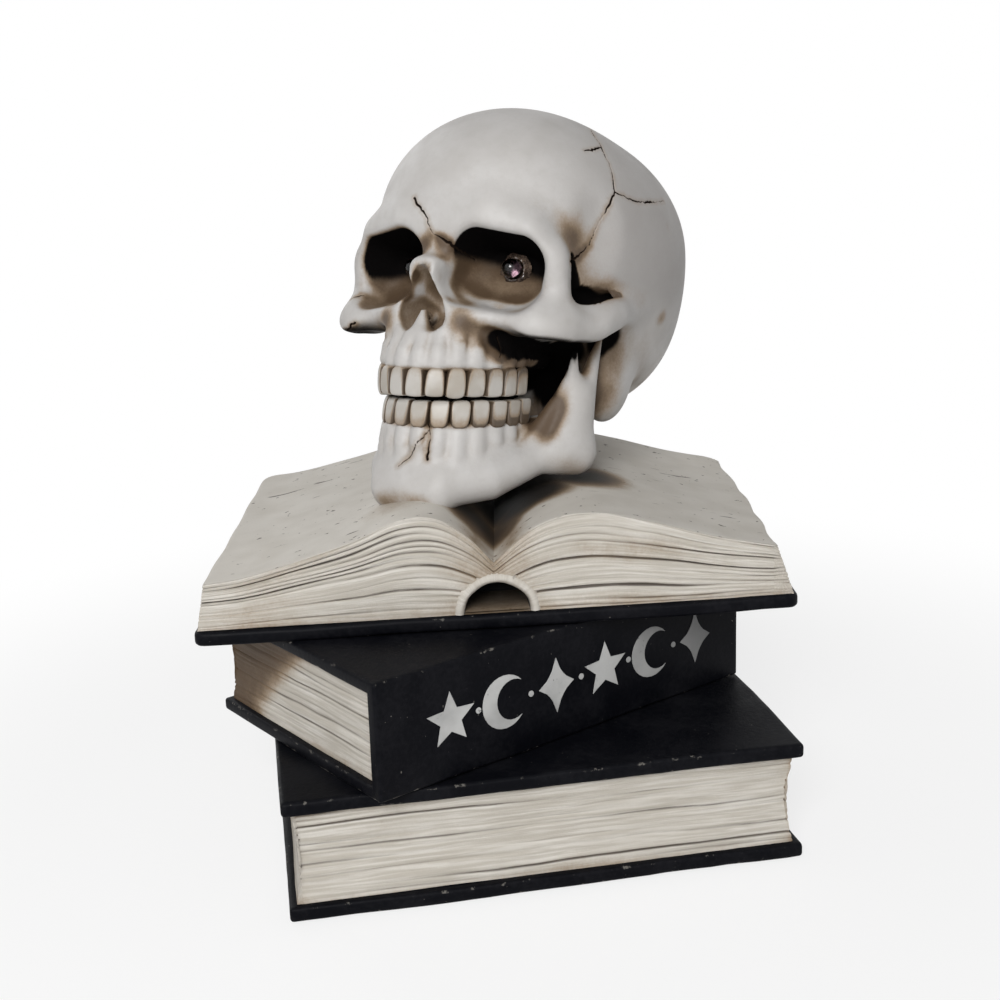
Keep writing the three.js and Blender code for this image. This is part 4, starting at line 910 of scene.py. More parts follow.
def crownRow(name, row):
    look = crownShape
    bm = bmesh.new()
    stainAndShadeValue = bm.verts.layers.float.new("stainAndShade")
    mid, half = (row["tip"] + row["neck"]) / 2, abs(row["tip"] - row["neck"]) / 2
    crownWide = (tooth["width"] - tooth["between"]) / 2 * look["grow"]
    crownDeep = tooth["thickness"] / 2 * look["grow"]
    for n, (x, y, outX, outY) in enumerate(toothPlaces(row)):
        for side in (1, -1):
            cube = bmesh.ops.create_cube(bm, size=2)["verts"]
            edges = list({e for v in cube for e in v.link_edges})
            bmesh.ops.subdivide_edges(bm, edges=edges, cuts=2, use_grid_fill=True)
            uneven = ripple(n * 1.7, side * 3.1, row["tip"])
            for v in [v for v in bm.verts if not v.tag]:
                v.tag = True
                a, b, c = (math.copysign(look["flat"], value) if abs(value) < 0.9 else value for value in v.co)
                rim = abs(a) > 0.9
                wide = crownWide * np.interp(c, look["level"], look["wide"])
                deep = crownDeep * (1.0 if n >= firstMolar else np.interp(c, look["level"], look["deep"]))
                height = c * half * look["neckTall" if c > 0 else "tipTall"]
                if c > 0.9:
                    height += look["neckLift"] - look["arch"] * rim
                elif c < -0.9:
                    height += look["round"] * rim + look["uneven"] * uneven - look["point"] * (n == canine and not rim)
                across, out = a * wide * (1 + 0.04 * uneven), b * deep
                vx, vy = x - across * outY + out * outX, y + across * outX + out * outY
                v.co = (vx * side, vy, mid + height * row["up"] + biteRise(vy))
                # Darker towards the neck, towards the molars and on the lower row; the sides facing the next crown
                # fully dark as painted shade
                worn = look["stainAndShade"][0] + look["stainAndShade"][1] * c + look["molarDarker"] * max(n - canine, 0)
                v[stainAndShadeValue] = max(worn + look["lowerDarker"] * (row["up"] < 0), float(rim))
    faceNormals(bm)
    obj = meshPiece(name, bm, skullMatrix, toothPaint)
    subdivide = obj.modifiers.new("round", "SUBSURF")
    subdivide.levels = subdivide.render_levels = 2


# Web of casting behind the crowns, which closes the bite, black all over: dark paint and painted shade of the mouth
biteWeb = {"behind": 0.4, "top": -20.5, "foot": -31.5, "thickness": 1.6}


def makeBiteWeb():
    look = biteWeb
    bm = bmesh.new()
    right = [(x - look["behind"] * outX, y - look["behind"] * outY) for x, y, outX, outY in toothPlaces(lowerTeeth)]
    line = [(-x, y) for x, y in reversed(right)] + right
    edges = openLine(bm, [(x, y, look["foot"] + biteRise(y)) for x, y in line])[1]
    bmesh.ops.translate(bm, verts=extrudeEdges(bm, edges)[0], vec=(0, 0, look["top"] - look["foot"]))
    faceNormals(bm)
    bmesh.ops.solidify(bm, geom=bm.faces[:], thickness=look["thickness"])
    faceNormals(bm)
    mesh = meshPiece("biteWeb", bm, skullMatrix, bonePaint, sharpAngle=40).data
    addValues(mesh, "blackAndShade", np.ones(len(mesh.vertices)))


toothFinish = {
    "light": paint(0.46, 0.44, 0.41), "shade": paint(0.35, 0.315, 0.27), "crease": paint(0.03, 0.018, 0.01),
    "rough": 0.42, "scale": 1400.0, "grain": 0.0001, "mottleSpan": (0.35, 0.65), "neckSpan": (0.48, 1.05),
    "neck": 0.7, "washAndShade": 0.1, "creaseSpan": (0.92, 1.0), "creased": 0.75, "bump": 0.4,
}


def makeToothPaint():
    look = toothFinish
    material, tree, shader, where = newMaterial("toothPaint")
    grain = grainOf(tree, where, look["scale"])
    base = mixColors(tree, soften(tree, grain["Mottle"], *look["mottleSpan"]), look["light"], look["shade"])
    stainAndShade = attribute(tree, "stainAndShade")
    neckLine = multiply(tree, soften(tree, stainAndShade, *look["neckSpan"]), look["neck"])
    washed = washOver(tree, base, add(tree, neckLine, look["washAndShade"]), where)
    # Near black in the gaps between crowns: painted shade
    crease = soften(tree, stainAndShade, *look["creaseSpan"])
    feed(tree, shader, {
        "Base Color": mixColors(tree, crease, washed, look["crease"], look["creased"]),
        "Roughness": look["rough"],
        "Normal": bumps(tree, grain["Height"], look["grain"], look["bump"]),
    })
    return material


toothPaint = makeToothPaint()
crownRow("upperTeeth", upperTeeth)
crownRow("lowerTeeth", lowerTeeth)
makeBiteWeb()
print("teeth set")


# Books


# Page paint: streaked leaf edges on the sides, darker than the tops as painted shade, flecked leaves on top, dirt and
# painted shade where it gathers, black painted shadow under the skull
pageFinish = {
    "light": paint(0.60, 0.57, 0.52), "shade": paint(0.43, 0.395, 0.34), "line": paint(0.045, 0.032, 0.024),
    "fleck": paint(0.05, 0.036, 0.026), "ink": paint(0.006, 0.006, 0.006), "rough": 0.62, "gloss": 0.3,
    "scale": 1300.0, "grain": 0.00025, "run": (1.9, 38.0), "streakSpan": (0.38, 0.6), "streaked": 0.85,
    "grooveSpan": (0.14, 0.62), "lined": 0.9, "speck": (420.0, 3.0, 0.5), "speckSpan": (0.665, 0.72),
    "hair": (60.0, 520.0, 200.0), "hairTurn": 0.5, "hairSpan": (0.7, 0.74), "mottleSpan": (0.3, 0.75), "mottled": 0.4,
    "streak": (1.0, 5.0, 0.62), "scratch": (1.0, 2.0, 0.5), "flecked": 0.85, "raised": 1.5, "bump": 0.6,
}


def makePagePaint():
    look = pageFinish
    material, tree, shader, where = newMaterial("pagePaint")
    grain = grainOf(tree, where, look["scale"])
    layer, along, side = (attribute(tree, name) for name in ("layer", "along", "side"))
    leaf, length = (multiply(tree, *pair) for pair in zip((layer, along), look["run"]))
    streak = cloud(tree, put(tree, "CombineXYZ", {0: leaf, 1: length})[0], *look["streak"])
    mottle = soften(tree, grain["Mottle"], *look["mottleSpan"])
    base = mixColors(tree, mottle, look["light"], look["shade"], look["mottled"])
    # Sides streaked darker than the tops: leaf streaks and painted shade
    streaked = mixColors(tree, soften(tree, streak, *look["streakSpan"]), base, look["shade"], look["streaked"])
    line = multiply(tree, soften(tree, attribute(tree, "groove"), *look["grooveSpan"]), side)
    lined = mixColors(tree, line, mixColors(tree, side, base, streaked), look["line"], look["lined"])
    speck = soften(tree, cloud(tree, where, *look["speck"]), *look["speckSpan"])
    hair = put(tree, "Mapping", {"Vector": where, "Scale": look["hair"], "Rotation": (0.0, 0.0, look["hairTurn"])})[0]
    scratch = soften(tree, cloud(tree, hair, *look["scratch"]), *look["hairSpan"])
    marks = multiply(tree, larger(tree, speck, scratch), subtract(tree, 1.0, side))
    flecked = mixColors(tree, marks, lined, look["fleck"], look["flecked"])
    washed = washOver(tree, flecked, attribute(tree, "grime"), where)
    height = add(tree, grain["Height"], multiply(tree, multiply(tree, streak, side), look["raised"]))
    feed(tree, shader, {
        "Base Color": mixColors(tree, attribute(tree, "ink"), washed, look["ink"]),
        "Roughness": look["rough"],
        "Specular IOR Level": look["gloss"],
        "Normal": bumps(tree, height, look["grain"], look["bump"]),
    })
    return material


# Cover paint: near black with a cold tint, broken pale wear along the edges and small chips
coverFinish = {
    "dark": paint(0.0026, 0.0028, 0.0042), "worn": paint(0.0075, 0.0076, 0.0095), "chip": paint(0.17, 0.16, 0.145),
    "rough": (0.36, 0.6), "gloss": 0.05, "scale": 800.0, "grain": 0.0003, "wornSpan": (0.4, 0.68),
    "broken": (330.0, 6.0, 0.7), "brokenBy": 2.4, "wearSpan": (0.92, 1.12), "chips": (900.0, 2.0, 0.5),
    "chipSpan": (0.755, 0.78), "pale": 0.75, "bump": 0.6,
}


def makeCoverPaint():
    look = coverFinish
    material, tree, shader, where = newMaterial("coverPaint")
    grain = grainOf(tree, where, look["scale"])
    base = mixColors(tree, soften(tree, grain["Height"], *look["wornSpan"]), look["dark"], look["worn"])
    broken = multiply(tree, subtract(tree, cloud(tree, where, *look["broken"]), 0.5), look["brokenBy"])
    wear = soften(tree, add(tree, attribute(tree, "edge"), broken), *look["wearSpan"])
    chips = soften(tree, cloud(tree, where, *look["chips"]), *look["chipSpan"])
    feed(tree, shader, {
        "Base Color": mixColors(tree, larger(tree, wear, chips), base, look["chip"], look["pale"]),
        "Roughness": remap(tree, grain["Height"], *look["rough"], grainSpan),
        "Specular IOR Level": look["gloss"],
        "Normal": bumps(tree, grain["Height"], look["grain"], look["bump"]),
    })
    return material


pagePaint = makePagePaint()
coverPaint = makeCoverPaint()


def bookMatrix(x, y, z, turn):
    at = stackCorner + Vector((x, y, z)) * mm
    return Matrix.Translation(at) @ Matrix.Rotation(math.radians(turn), 4, "Z") @ Matrix.Scale(mm, 4)


def within(value):
    return max(0.0, min(1.0, value))


# Depth of the grooves between leaves: wavering lines of uneven strength, a few of them deep
def leafGroove(layer, along, seed):
    waver = layer + 0.55 * ripple(along * 0.022, layer * 0.35, seed) + 0.12 * ripple(along * 0.11, layer, seed + 3)
    row = math.floor(waver)
    strength = 0.3 + 1.1 * ripple(along * 0.014 + row * 3.7, row * 7.31, seed)
    closeness = 1 - abs(waver - row - 0.5) * 2
    return within(strength) * within((closeness - 0.35) / 0.65), waver


leafValues = ("u", "v", "layer", "along", "side", "groove", "grime", "ink")
touch = 0.01  # a point this near a rim lies on it


def valueLayers(bm, names):
    return {name: bm.verts.layers.float.new(name) for name in names}


def setValues(point, layers, **values):
    for name, value in values.items():
        point[layers[name]] = value


# Rims that a point of a block is on, the way outwards there, and its run along the rim
def rimAt(u, w, left, right, front, back):
    onLeft, onRight, onFront, onBack = u < left + touch, u > right - touch, w < front + touch, w > back - touch
    out = Vector((onRight - onLeft, onBack - onFront, 0)).normalized()
    return onLeft, onRight, onFront, onBack, out, (u if onFront or onBack else w) + 300 * onRight + 600 * onBack


# Sides of a block of leaves: the rim is drawn down in rings, grooved between the leaves, and closed below
def leafSides(bm, layers, book, spot):
    edges = [e for e in bm.edges if e.is_boundary]
    for ring in range(1, book["rings"] + 1):
        verts, edges = extrudeEdges(bm, edges)
        t = 1 - ring / book["rings"]
        for v in verts:
            at, out, along, grime = spot(v[layers["u"]], v[layers["v"]], t)
            groove, waver = leafGroove(t * book["leaves"], along, book["leafSeed"])
            v.co = at - out * book["grooveDepth"] * (groove - 0.25)
            setValues(v, layers, layer=waver, along=along * mm, side=1.0, groove=groove, grime=grime)
    bmesh.ops.holes_fill(bm, edges=edges, sides=0)


# Open book: two humps of leaves that meet in a gutter

openBook = {
    "left": -17.9, "front": 29.3, "base": 61.6, "turn": -5.9, "width": 152.4, "depth": 104.0, "board": 3.7,
    "shear": 0.075, "footLeft": 1.0, "footRight": 151.2, "square": 1.6, "edgeLift": 4.0, "liftEnd": 76.1,
    "leaves": 16, "rings": 84, "grooveDepth": 0.85, "leafSeed": 11.0, "gutter": 75.0, "waves": 0.35, "ragged": 1.6,
    "corner": 5.0, "glue": 0.05, "wave": 0.45, "seed": 21.0, "boardCorner": 2.6, "rounding": 1.1, "rim": 2.2,
}
leftPage = [(3.4, 11.9), (12.6, 12.9), (25, 16), (40, 20.4), (52, 25.2), (61, 25.2), (69, 20), (75, 13.2)]
rightPage = [(75, 13.2), (83.5, 20.4), (92, 23.9), (102, 24.3), (114, 21.6), (131, 16.6), (146.8, 13.2)]
spineHollow = {
    "middle": 75.6, "halfWidth": 8.2, "height": 7.6, "reach": 16.0, "rim": 3.0, "clear": 0.9, "lift": 0.1,
    "floor": 0.6,
}
openMatrix = bookMatrix(openBook["left"], openBook["front"], openBook["base"], openBook["turn"])


# A smooth line through points, passed in even shares
def smoothLine(points, steps=16):
    p = np.array([points[0]] + list(points) + [points[-1]], float)
    line = []
    for a, b, c, d in zip(p[:-3], p[1:-2], p[2:-1], p[3:]):
        for t in np.linspace(0, 1, steps, endpoint=False):
            square, cube = (2 * a - 5 * b + 4 * c - d) * t**2, (3 * b - a - 3 * c + d) * t**3
            line.append(0.5 * (2 * b + (c - a) * t + square + cube))
    return np.array(line + [p[-1]])


pageLine = np.concatenate([smoothLine(leftPage), smoothLine(rightPage)[1:]])


def pageTop(u, v):
    lift = openBook["edgeLift"] * (v / openBook["depth"]) * max(0.0, 1 - u / openBook["liftEnd"])
    return float(np.interp(u, pageLine[:, 0], pageLine[:, 1])) + lift


# Dirt and painted shade by the gutter, black painted shadow under the jaw
pageGrimeAndShade = {
    "gutterOff": 4.5, "gutterReach": 7.5, "gutter": 0.75, "inkFrom": 0.75, "inkGain": 1.6, "inkMost": 0.92, "most": 1.4,
}
# Painted shadow on the pages round the feet of the skull: place, reach and strength
contactSpots = [
    ((52, 21), 13, 0.5), ((72, 24), 15, 1.3), ((88, 32), 15, 1.6), ((104, 40), 15, 1.4), ((84, 50), 28, 1.6),
]


def chinShade(at):
    total = 0.0
    for (u, v), reach, strength in contactSpots:
        far = math.hypot(at.x - u, at.y - v) / reach
        total = max(total, strength * max(0.0, 1 - far * far))
    return total


def makeOpenPages():
    look, hollow, darkening = openBook, spineHollow, pageGrimeAndShade
    base = look["board"] + look["glue"]
    low, high = float(pageLine[0, 0]), float(pageLine[-1, 0])
    near, far = look["square"], look["depth"] - look["square"]
    bm = bmesh.new()
    layers = valueLayers(bm, leafValues)
    bmesh.ops.create_grid(bm, x_segments=190, y_segments=90, size=0.5)

    # The outline wavers, and the back corners are rubbed round
    def placeOn(u, v, z):
        rim = max(0.0, 1 - min(abs(u - low), abs(high - u)) / 14)
        u += look["ragged"] * rim * ripple(v * 0.05, 7.0 if u > look["gutter"] else 1.0, 5.0)
        r = look["corner"]
        aside, behind = max(low + r - u, u - high + r, 0.0) / r, max(v - far + r, 0.0) / r
        over = math.hypot(aside, behind)
        if over > 1 and behind > 0:
            u += math.copysign(aside * r * (1 - 1 / over), look["gutter"] - u)
            v -= behind * r * (1 - 1 / over)
        return Vector((u + look["shear"] * v, v, z))

    for v in bm.verts:
        u, w = low + (v.co.x + 0.5) * (high - low), near + (v.co.y + 0.5) * (far - near)
        wave = ripple(u * 0.05, w * 0.035, 4.0) + 0.4 * ripple(u * 0.16, w * 0.12, 9.0)
        rim = min(1.0, min(u - low, high - u, w - near, far - w) / 6)
        v.co = placeOn(u, w, base + pageTop(u, w) + look["waves"] * wave * max(rim, 0.25))
        # Dirt and painted shade beside the gutter, black painted shadow under the jaw
        shade = chinShade(v.co)
        aside = abs(abs(u - look["gutter"]) - darkening["gutterOff"]) / darkening["gutterReach"]
        grime = min(darkening["most"], max(0.0, 1 - aside) * darkening["gutter"] + shade)
        ink = min(darkening["inkMost"], max(0.0, shade - darkening["inkFrom"]) * darkening["inkGain"])
        setValues(v, layers, u=u, v=w, grime=grime, ink=ink, layer=look["leaves"])

    def spot(u, w, t):
        onLeft, onRight, onFront, onBack, out, along = rimAt(u, w, low, high, near, far)
        z = base + t * pageTop(u, w)
        if 0.03 < t < 0.97:
            z += 0.35 * ripple(along * 0.06, t * 6, 2.0)
        blot = 0.55 * max(0.0, ripple(along * 0.03, t * 2.5, 17.0))
        # Dirt and painted shade, most by the gutter and low on the sides
        grime = max(0.0, 0.55 - abs(u - look["gutter"]) / 30) + 0.35 * max(0.0, 1 - t * 5) + 0.12 + blot
        if onLeft:
            u = low + (look["footLeft"] - low) * (1 - t)
        elif onRight:
            u = high + (look["footRight"] - high) * (1 - t)
        return placeOn(u, w, z), out, along, min(1.0, grime)

    leafSides(bm, layers, look, spot)
    inside = []
    for v in bm.verts:
        if v[layers["side"]] > 0.5 and (v[layers["v"]] < near + touch or v[layers["v"]] > far - touch):
            a = (v[layers["u"]] - hollow["middle"]) / (hollow["halfWidth"] + hollow["clear"])
            b = (v.co.z - base) / (hollow["height"] + hollow["clear"])
            if a * a + b * b < 1 and v.co.z > base + look["glue"]:
                inside.append(v)
    bmesh.ops.delete(bm, geom=inside, context="VERTS")
    faceNormals(bm)
    meshPiece("openBookPages", bm, openMatrix, pagePaint, "open_book_pages", 50)


# Arched end of the spine, a pale rim round a hollow in painted shade: growth of the arch, depth and painted shadow of
# each row
archRows = [
    (0.0, spineHollow["reach"], 1.0), (0.0, 0.6, 1.0), (0.35, -0.5, 0.2), (1.2, -0.9, 0.0), (2.1, -0.6, 0.0),
    (spineHollow["rim"], 0.4, 0.0), (spineHollow["rim"], 2.5, 0.0),
]


def makeSpineArch(name, v0, way, steps=36):
    hollow = spineHollow
    middle = hollow["middle"] + openBook["shear"] * v0
    bm = bmesh.new()
    layers = valueLayers(bm, leafValues[2:])

    def archPoint(i, grow, depth):
        angle = math.pi * i / steps
        wobble = 1 + 0.03 * ripple(angle * 2.2, grow, v0)
        x = middle + math.cos(angle) * (hollow["halfWidth"] + grow) * wobble
        z = openBook["board"] + hollow["lift"] + math.sin(angle) * (hollow["height"] + grow) * wobble
        return Vector((x, v0 + way * depth, z))

    first, edges = openLine(bm, [archPoint(i, *archRows[0][:2]) for i in range(steps + 1)])
    for v in first:
        v[layers["ink"]] = archRows[0][2]
    bm.faces.new(first)
    for grow, depth, ink in archRows[1:]:
        verts, edges = extrudeEdges(bm, edges)
        for i, v in enumerate(sorted(verts, key=lambda v: -v.co.x)):
            v.co = archPoint(i, grow, depth)
            grime = 0.42 if grow in (0.35, hollow["rim"]) else 0.2
            setValues(v, layers, ink=ink, grime=grime, side=0.6, layer=i * 0.4, along=grow * mm)
    # Floor of the hollow in dirt and painted shadow
    for v in bmesh.ops.create_grid(bm, x_segments=6, y_segments=6, size=0.5)["verts"]:
        x, back = middle + 2 * v.co.x * hollow["halfWidth"], v.co.y + 0.5
        v.co = Vector((x, v0 + way * back * hollow["reach"], openBook["board"] + hollow["floor"]))
        setValues(v, layers, grime=0.8, ink=0.75 * min(1.0, 2.5 * back))
    meshPiece(name, bm, openMatrix, pagePaint)


# Book boards: a section drawn along the spine, bevelled, cut into strips and worn a little out of true


def bevelEdges(bm, edges, offset, segments):
    bmesh.ops.bevel(
        bm, geom=edges, offset=offset, offset_type="OFFSET", segments=segments, profile=0.5, affect="EDGES",
        material=-1)


def cutStrips(bm, cuts):
    for axis, places in cuts.items():
        for at in places:
            point, normal = [0.0] * 3, [0.0] * 3
            point[axis], normal[axis] = at, 1.0
            everything = bm.verts[:] + bm.edges[:] + bm.faces[:]
            bmesh.ops.bisect_plane(bm, geom=everything, dist=1e-4, plane_co=point, plane_no=normal)


def spread(low, high, step):
    count = max(1, round((high - low) / step))
    return [low + (high - low) * i / count for i in range(1, count)]


def boardBend(at, book):
    wave, seed = book["wave"], book["seed"]
    bend = fractal.noise_vector(at * 0.028 + Vector((seed, 0, 0))) * wave
    bend += fractal.noise_vector(at * 0.16 + Vector((0, seed, 0))) * wave * 0.28
    return Vector((bend.x * 0.7, bend.y * 0.7, bend.z))


def wearEdges(bm, edgeOf, book, still=None):
    edgeValue = bm.verts.layers.float.new("edge")
    for v in bm.verts:
        v[edgeValue] = edgeOf(v.co)
        v.co += boardBend(v.co, book) * (still(v.co) if still else 1.0)


# The bottom board may have an opening: x and y limits in the book's own frame
def makeClosedCover(name, book, matrix, node, opening=None):
    length, depth, height = (book[key] for key in ("length", "depth", "height"))
    board, spine, rim = (book[key] for key in ("board", "spine", "rim"))
    top = height - board
    bm = bmesh.new()
    lower = [(0, 0), (depth, 0), (depth, board), (spine, board)]
    upper = [(spine, top), (depth, top), (depth, height), (0, height)]
    extrudeOutline(bm, [(0, y, z) for y, z in lower + upper], (length, 0, 0))
    faceNormals(bm)
    bevelEdges(bm, [e for e in bm.edges if e.calc_face_angle(0) > 0.5 and e.is_convex], book["rounding"], 3)
    cuts = {
        0: [rim, length - rim] + spread(0, length, 4.0), 1: [depth - rim, rim] + spread(0, depth, 6.0),
        2: spread(board, top, 5.0),
    }

    def edgeOf(at):
        rims = min(at.x, length - at.x, depth - at.y)
        sharp = min(abs(at.z), abs(at.z - board), abs(at.z - height), abs(at.z - height + board))
        onRim = max(0.0, 1 - max(rims, sharp * 0.8) / 1.2)
        onSpine = max(0.0, 1 - max(at.y, min(at.z, height - at.z)) / 1.2)
        return max(onRim, onSpine) * 0.84 + 0.2

    still = None
    if opening:
        x0, x1, y0, y1 = opening
        cuts[0] += [x0, x1]
        cuts[1] += [y0, y1]
    cutStrips(bm, cuts)
    if opening:
        cover = []
        for face in bm.faces:
            at = face.calc_center_median()
            if x0 < at.x < x1 and y0 < at.y < y1 and at.z < board + 0.5:
                cover.append(face)
        bmesh.ops.delete(bm, geom=cover, context="FACES")
        bmesh.ops.bridge_loops(bm, edges=[e for e in bm.edges if e.is_boundary])

        def still(at):
            away = max(x0 - at.x, at.x - x1, y0 - at.y, at.y - y1, at.z - board - 2)
            return float(ease(2, 14, away))

    wearEdges(bm, edgeOf, book, still)
    meshPiece(name, bm, matrix, coverPaint, node, 60)


def makeClosedPages(name, book, matrix, node):
    bm = bmesh.new()
    layers = valueLayers(bm, leafValues)
    x0, x1 = book["square"], book["length"] - book["square"]
    y0, y1 = book["spine"] - book["tuck"], book["depth"] - book["square"]
    low, high = book["board"] - 0.1, book["height"] - book["board"] + 0.1
    bmesh.ops.create_grid(bm, x_segments=1, y_segments=1, size=0.5)
    bmesh.ops.subdivide_edges(bm, edges=bm.edges[:], cuts=book["cuts"])
    for v in bm.verts:
        u, w = x0 + (v.co.x + 0.5) * (x1 - x0), y0 + (v.co.y + 0.5) * (y1 - y0)
        setValues(v, layers, u=u, v=w)
        v.co = Vector((u, w, high))

    def spot(u, w, t):
        onLeft, onRight, onSpine, onFore, out, along = rimAt(u, w, x0, x1, y0, y1)
        sunk = book["sag"] * 4 * t * (1 - t) + 0.3 * ripple(along * 0.05, t * 9, book["leafSeed"])
        at = Vector((u, w, low + (high - low) * t)) - Vector((out.x * sunk, 0 if onSpine else out.y * sunk, 0))
        ends = max(0.0, 1 - min(t, 1 - t) * 9)
        corner = max(0.0, 1 - (min(u - x0, x1 - u) if onFore else min(w - y0, y1 - w)) / 7)
        blot = max(0.0, ripple(along * 0.022, t * 1.6, book["leafSeed"] + 5))
        # Dirt and painted shade at the ends by the boards and at the corners
        grime = 0.38 * ends + 0.25 * corner + 0.42 * blot
        # Painted shadow of the book above across the far part of the left end
        if onLeft:
            grime += book["endShadow"] * float(ease(0.35, 0.6, (w - y0) / (y1 - y0) - 0.35 * (1 - t)))
        return at, out, along, min(1.4, grime)

    leafSides(bm, layers, book, spot)
    faceNormals(bm)
    meshPiece(name, bm, matrix, pagePaint, node, 60)


bottomBook = {
    "length": 130.0, "depth": 104.0, "height": 31.0, "board": 3.65, "spine": 3.6, "rounding": 0.9, "rim": 1.6,
    "wave": 0.55, "seed": 3.0, "leafSeed": 3.0, "square": 2.2, "tuck": 0.3, "sag": 1.7, "leaves": 14, "rings": 76,
    "cuts": 90, "grooveDepth": 0.6, "endShadow": 0.2,
}
middleBook = {
    "length": 120.0, "depth": 78.5, "height": 30.0, "board": 3.3, "spine": 3.4, "rounding": 0.8, "rim": 1.6,
    "wave": 0.4, "seed": 8.0, "leafSeed": 8.0, "square": 2.0, "tuck": 0.3, "sag": 1.0, "leaves": 15, "rings": 80,
    "cuts": 80, "grooveDepth": 0.5, "endShadow": 1.2,
}
boxClearance = 0.3
bottomMatrix = bookMatrix(bottomBook["length"], bottomBook["depth"], 0, 180)
middleMatrix = bookMatrix(23.1, -6.6, 31.3, 27.4)


def makeOpenCover():
    look = openBook
    width, depth, board, rim = (look[key] for key in ("width", "depth", "board", "rim"))
    bm = bmesh.new()
    addBlock(bm, (width / 2, depth / 2, board / 2), (width, depth, board))
    bevelEdges(bm, [e for e in bm.edges if abs(e.verts[0].co.z - e.verts[1].co.z) > 1], look["boardCorner"], 4)
    bevelEdges(bm, [e for e in bm.edges if e.calc_face_angle(0) > 1.0], look["rounding"], 3)
    cutStrips(bm, {0: [rim, width - rim] + spread(0, width, 4.5), 1: [rim, depth - rim] + spread(0, depth, 6.5)})

    def edgeOf(at):
        rims = min(at.x, width - at.x, at.y, depth - at.y)
        return max(0.0, 1 - max(rims, min(at.z, board - at.z)) / 1.4) * 0.7 + 0.2

    wearEdges(bm, edgeOf, look)
    lean = Matrix.Identity(4)
    lean[0][1] = look["shear"]
    meshPiece("openBookCover", bm, openMatrix @ lean, coverPaint, "open_book_cover", 60)


makeOpenPages()
makeOpenCover()
makeSpineArch("spineArchFront", openBook["square"], 1)
makeSpineArch("spineArchBack", openBook["depth"] - openBook["square"], -1)
print("open book laid")
makeClosedCover("middleBookCover", middleBook, middleMatrix, "middle_book_cover")
makeClosedPages("middleBookPages", middleBook, middleMatrix, "middle_book_pages")
makeClosedPages("bottomBookPages", bottomBook, bottomMatrix, "bottom_book_pages")
boxCorners = [bottomMatrix.inverted() @ Vector(corner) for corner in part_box("battery_box")]
boxSides = []
for axis in (0, 1):
    limits = sorted(corner[axis] for corner in boxCorners)
    boxSides += [limits[0] - boxClearance, limits[1] + boxClearance]
makeClosedCover("bottomBookCover", bottomBook, bottomMatrix, "bottom_book_cover", boxSides)
print("closed books laid")


# Small pieces


# Painted figures on the spine of the middle book: star, crescent and diamond in turn, with dots between, greyer towards
# the right end as painted shade
spineFigures = {
    "first": 21.0, "pitch": 16.4, "count": 6, "middle": 15.2, "size": 7.3, "raise": 0.14, "sink": 0.02, "dot": 0.8,
    "shadeFrom": 70, "shadeOver": 40,
}


# Points round a middle at even turns from the top
def wheel(count, reach, wide=1.0):
    turns = [2 * math.pi * i / count for i in range(count)]
    return [(reach(i, turn) * wide * math.sin(turn), reach(i, turn) * math.cos(turn)) for i, turn in enumerate(turns)]


def arc(x, wide, tall, start, end, count):
    turns = [math.radians(turn) for turn in np.linspace(start, end, count)]
    return [(x + wide * math.cos(turn), tall * math.sin(turn)) for turn in turns]


def figureOutline(kind, size):
    if kind == "star":
        return wheel(10, lambda i, turn: size * (0.44 if i % 2 else 1.0))
    if kind == "crescent":
        return arc(0, size * 0.95, size * 0.95, 52, 308, 21) + arc(size * 0.36, size * 0.70, size * 0.72, 300, 60, 19)
    if kind == "diamond":
        p = 0.72
        return wheel(16, lambda i, turn: size / (abs(math.cos(turn)) ** p + abs(math.sin(turn)) ** p) ** (1 / p), 0.78)
    return wheel(14, lambda i, turn: size)


figureFinish = {
    "light": paint(0.50, 0.50, 0.49), "dimGrey": paint(0.13, 0.13, 0.13), "bare": paint(0.012, 0.012, 0.015),
    "rough": 0.6, "scale": 900.0, "grain": 0.0002, "rub": (520.0, 5.0, 0.65), "rubSpan": (0.63, 0.7), "rubbed": 0.7,
    "mottleSpan": (0.35, 0.7), "mottled": 0.45, "bump": 0.5,
}


def makeFigurePaint():
    look = figureFinish
    material, tree, shader, where = newMaterial("figurePaint")
    grain = grainOf(tree, where, look["scale"])
    # Painted shade: grey towards the right end
    base = mixColors(tree, attribute(tree, "rightShade"), look["light"], look["dimGrey"])
    mottle = soften(tree, grain["Mottle"], *look["mottleSpan"])
    uneven = mixColors(tree, mottle, base, look["dimGrey"], look["mottled"])
    rubbed = soften(tree, cloud(tree, where, *look["rub"]), *look["rubSpan"])
    feed(tree, shader, {
        "Base Color": mixColors(tree, rubbed, uneven, look["bare"], look["rubbed"]),
        "Roughness": look["rough"],
        "Normal": bumps(tree, grain["Height"], look["grain"], look["bump"]),
    })
    return material


def makeSpineFigures():
    look = spineFigures
    bm = bmesh.new()
    shadeValue = bm.verts.layers.float.new("rightShade")
    figures = []
    for n in range(look["count"]):
        x = look["first"] + n * look["pitch"]
        figures.append((("star", "crescent", "diamond")[n % 3], x, look["size"]))
        figures.append(("dot", x + look["pitch"] / 2, look["dot"]))
    for kind, x, size in figures[:-1]:
        corners = [(x + a, -look["sink"], look["middle"] + b) for a, b in figureOutline(kind, size)]
        extrudeOutline(bm, corners, (0, -look["raise"], 0))
    faceNormals(bm)
    cutStrips(bm, {0: spread(10, 112, 2.5), 2: spread(5, 26, 2.5)})
    for v in bm.verts:
        # Greyer towards the right end: painted shade
        v[shadeValue] = within((v.co.x - look["shadeFrom"]) / look["shadeOver"])
        v.co += boardBend(v.co, middleBook)
    meshPiece("spineFigures", bm, middleMatrix, makeFigurePaint(), sharpAngle=40)


makeSpineFigures()
print("spine figures painted")


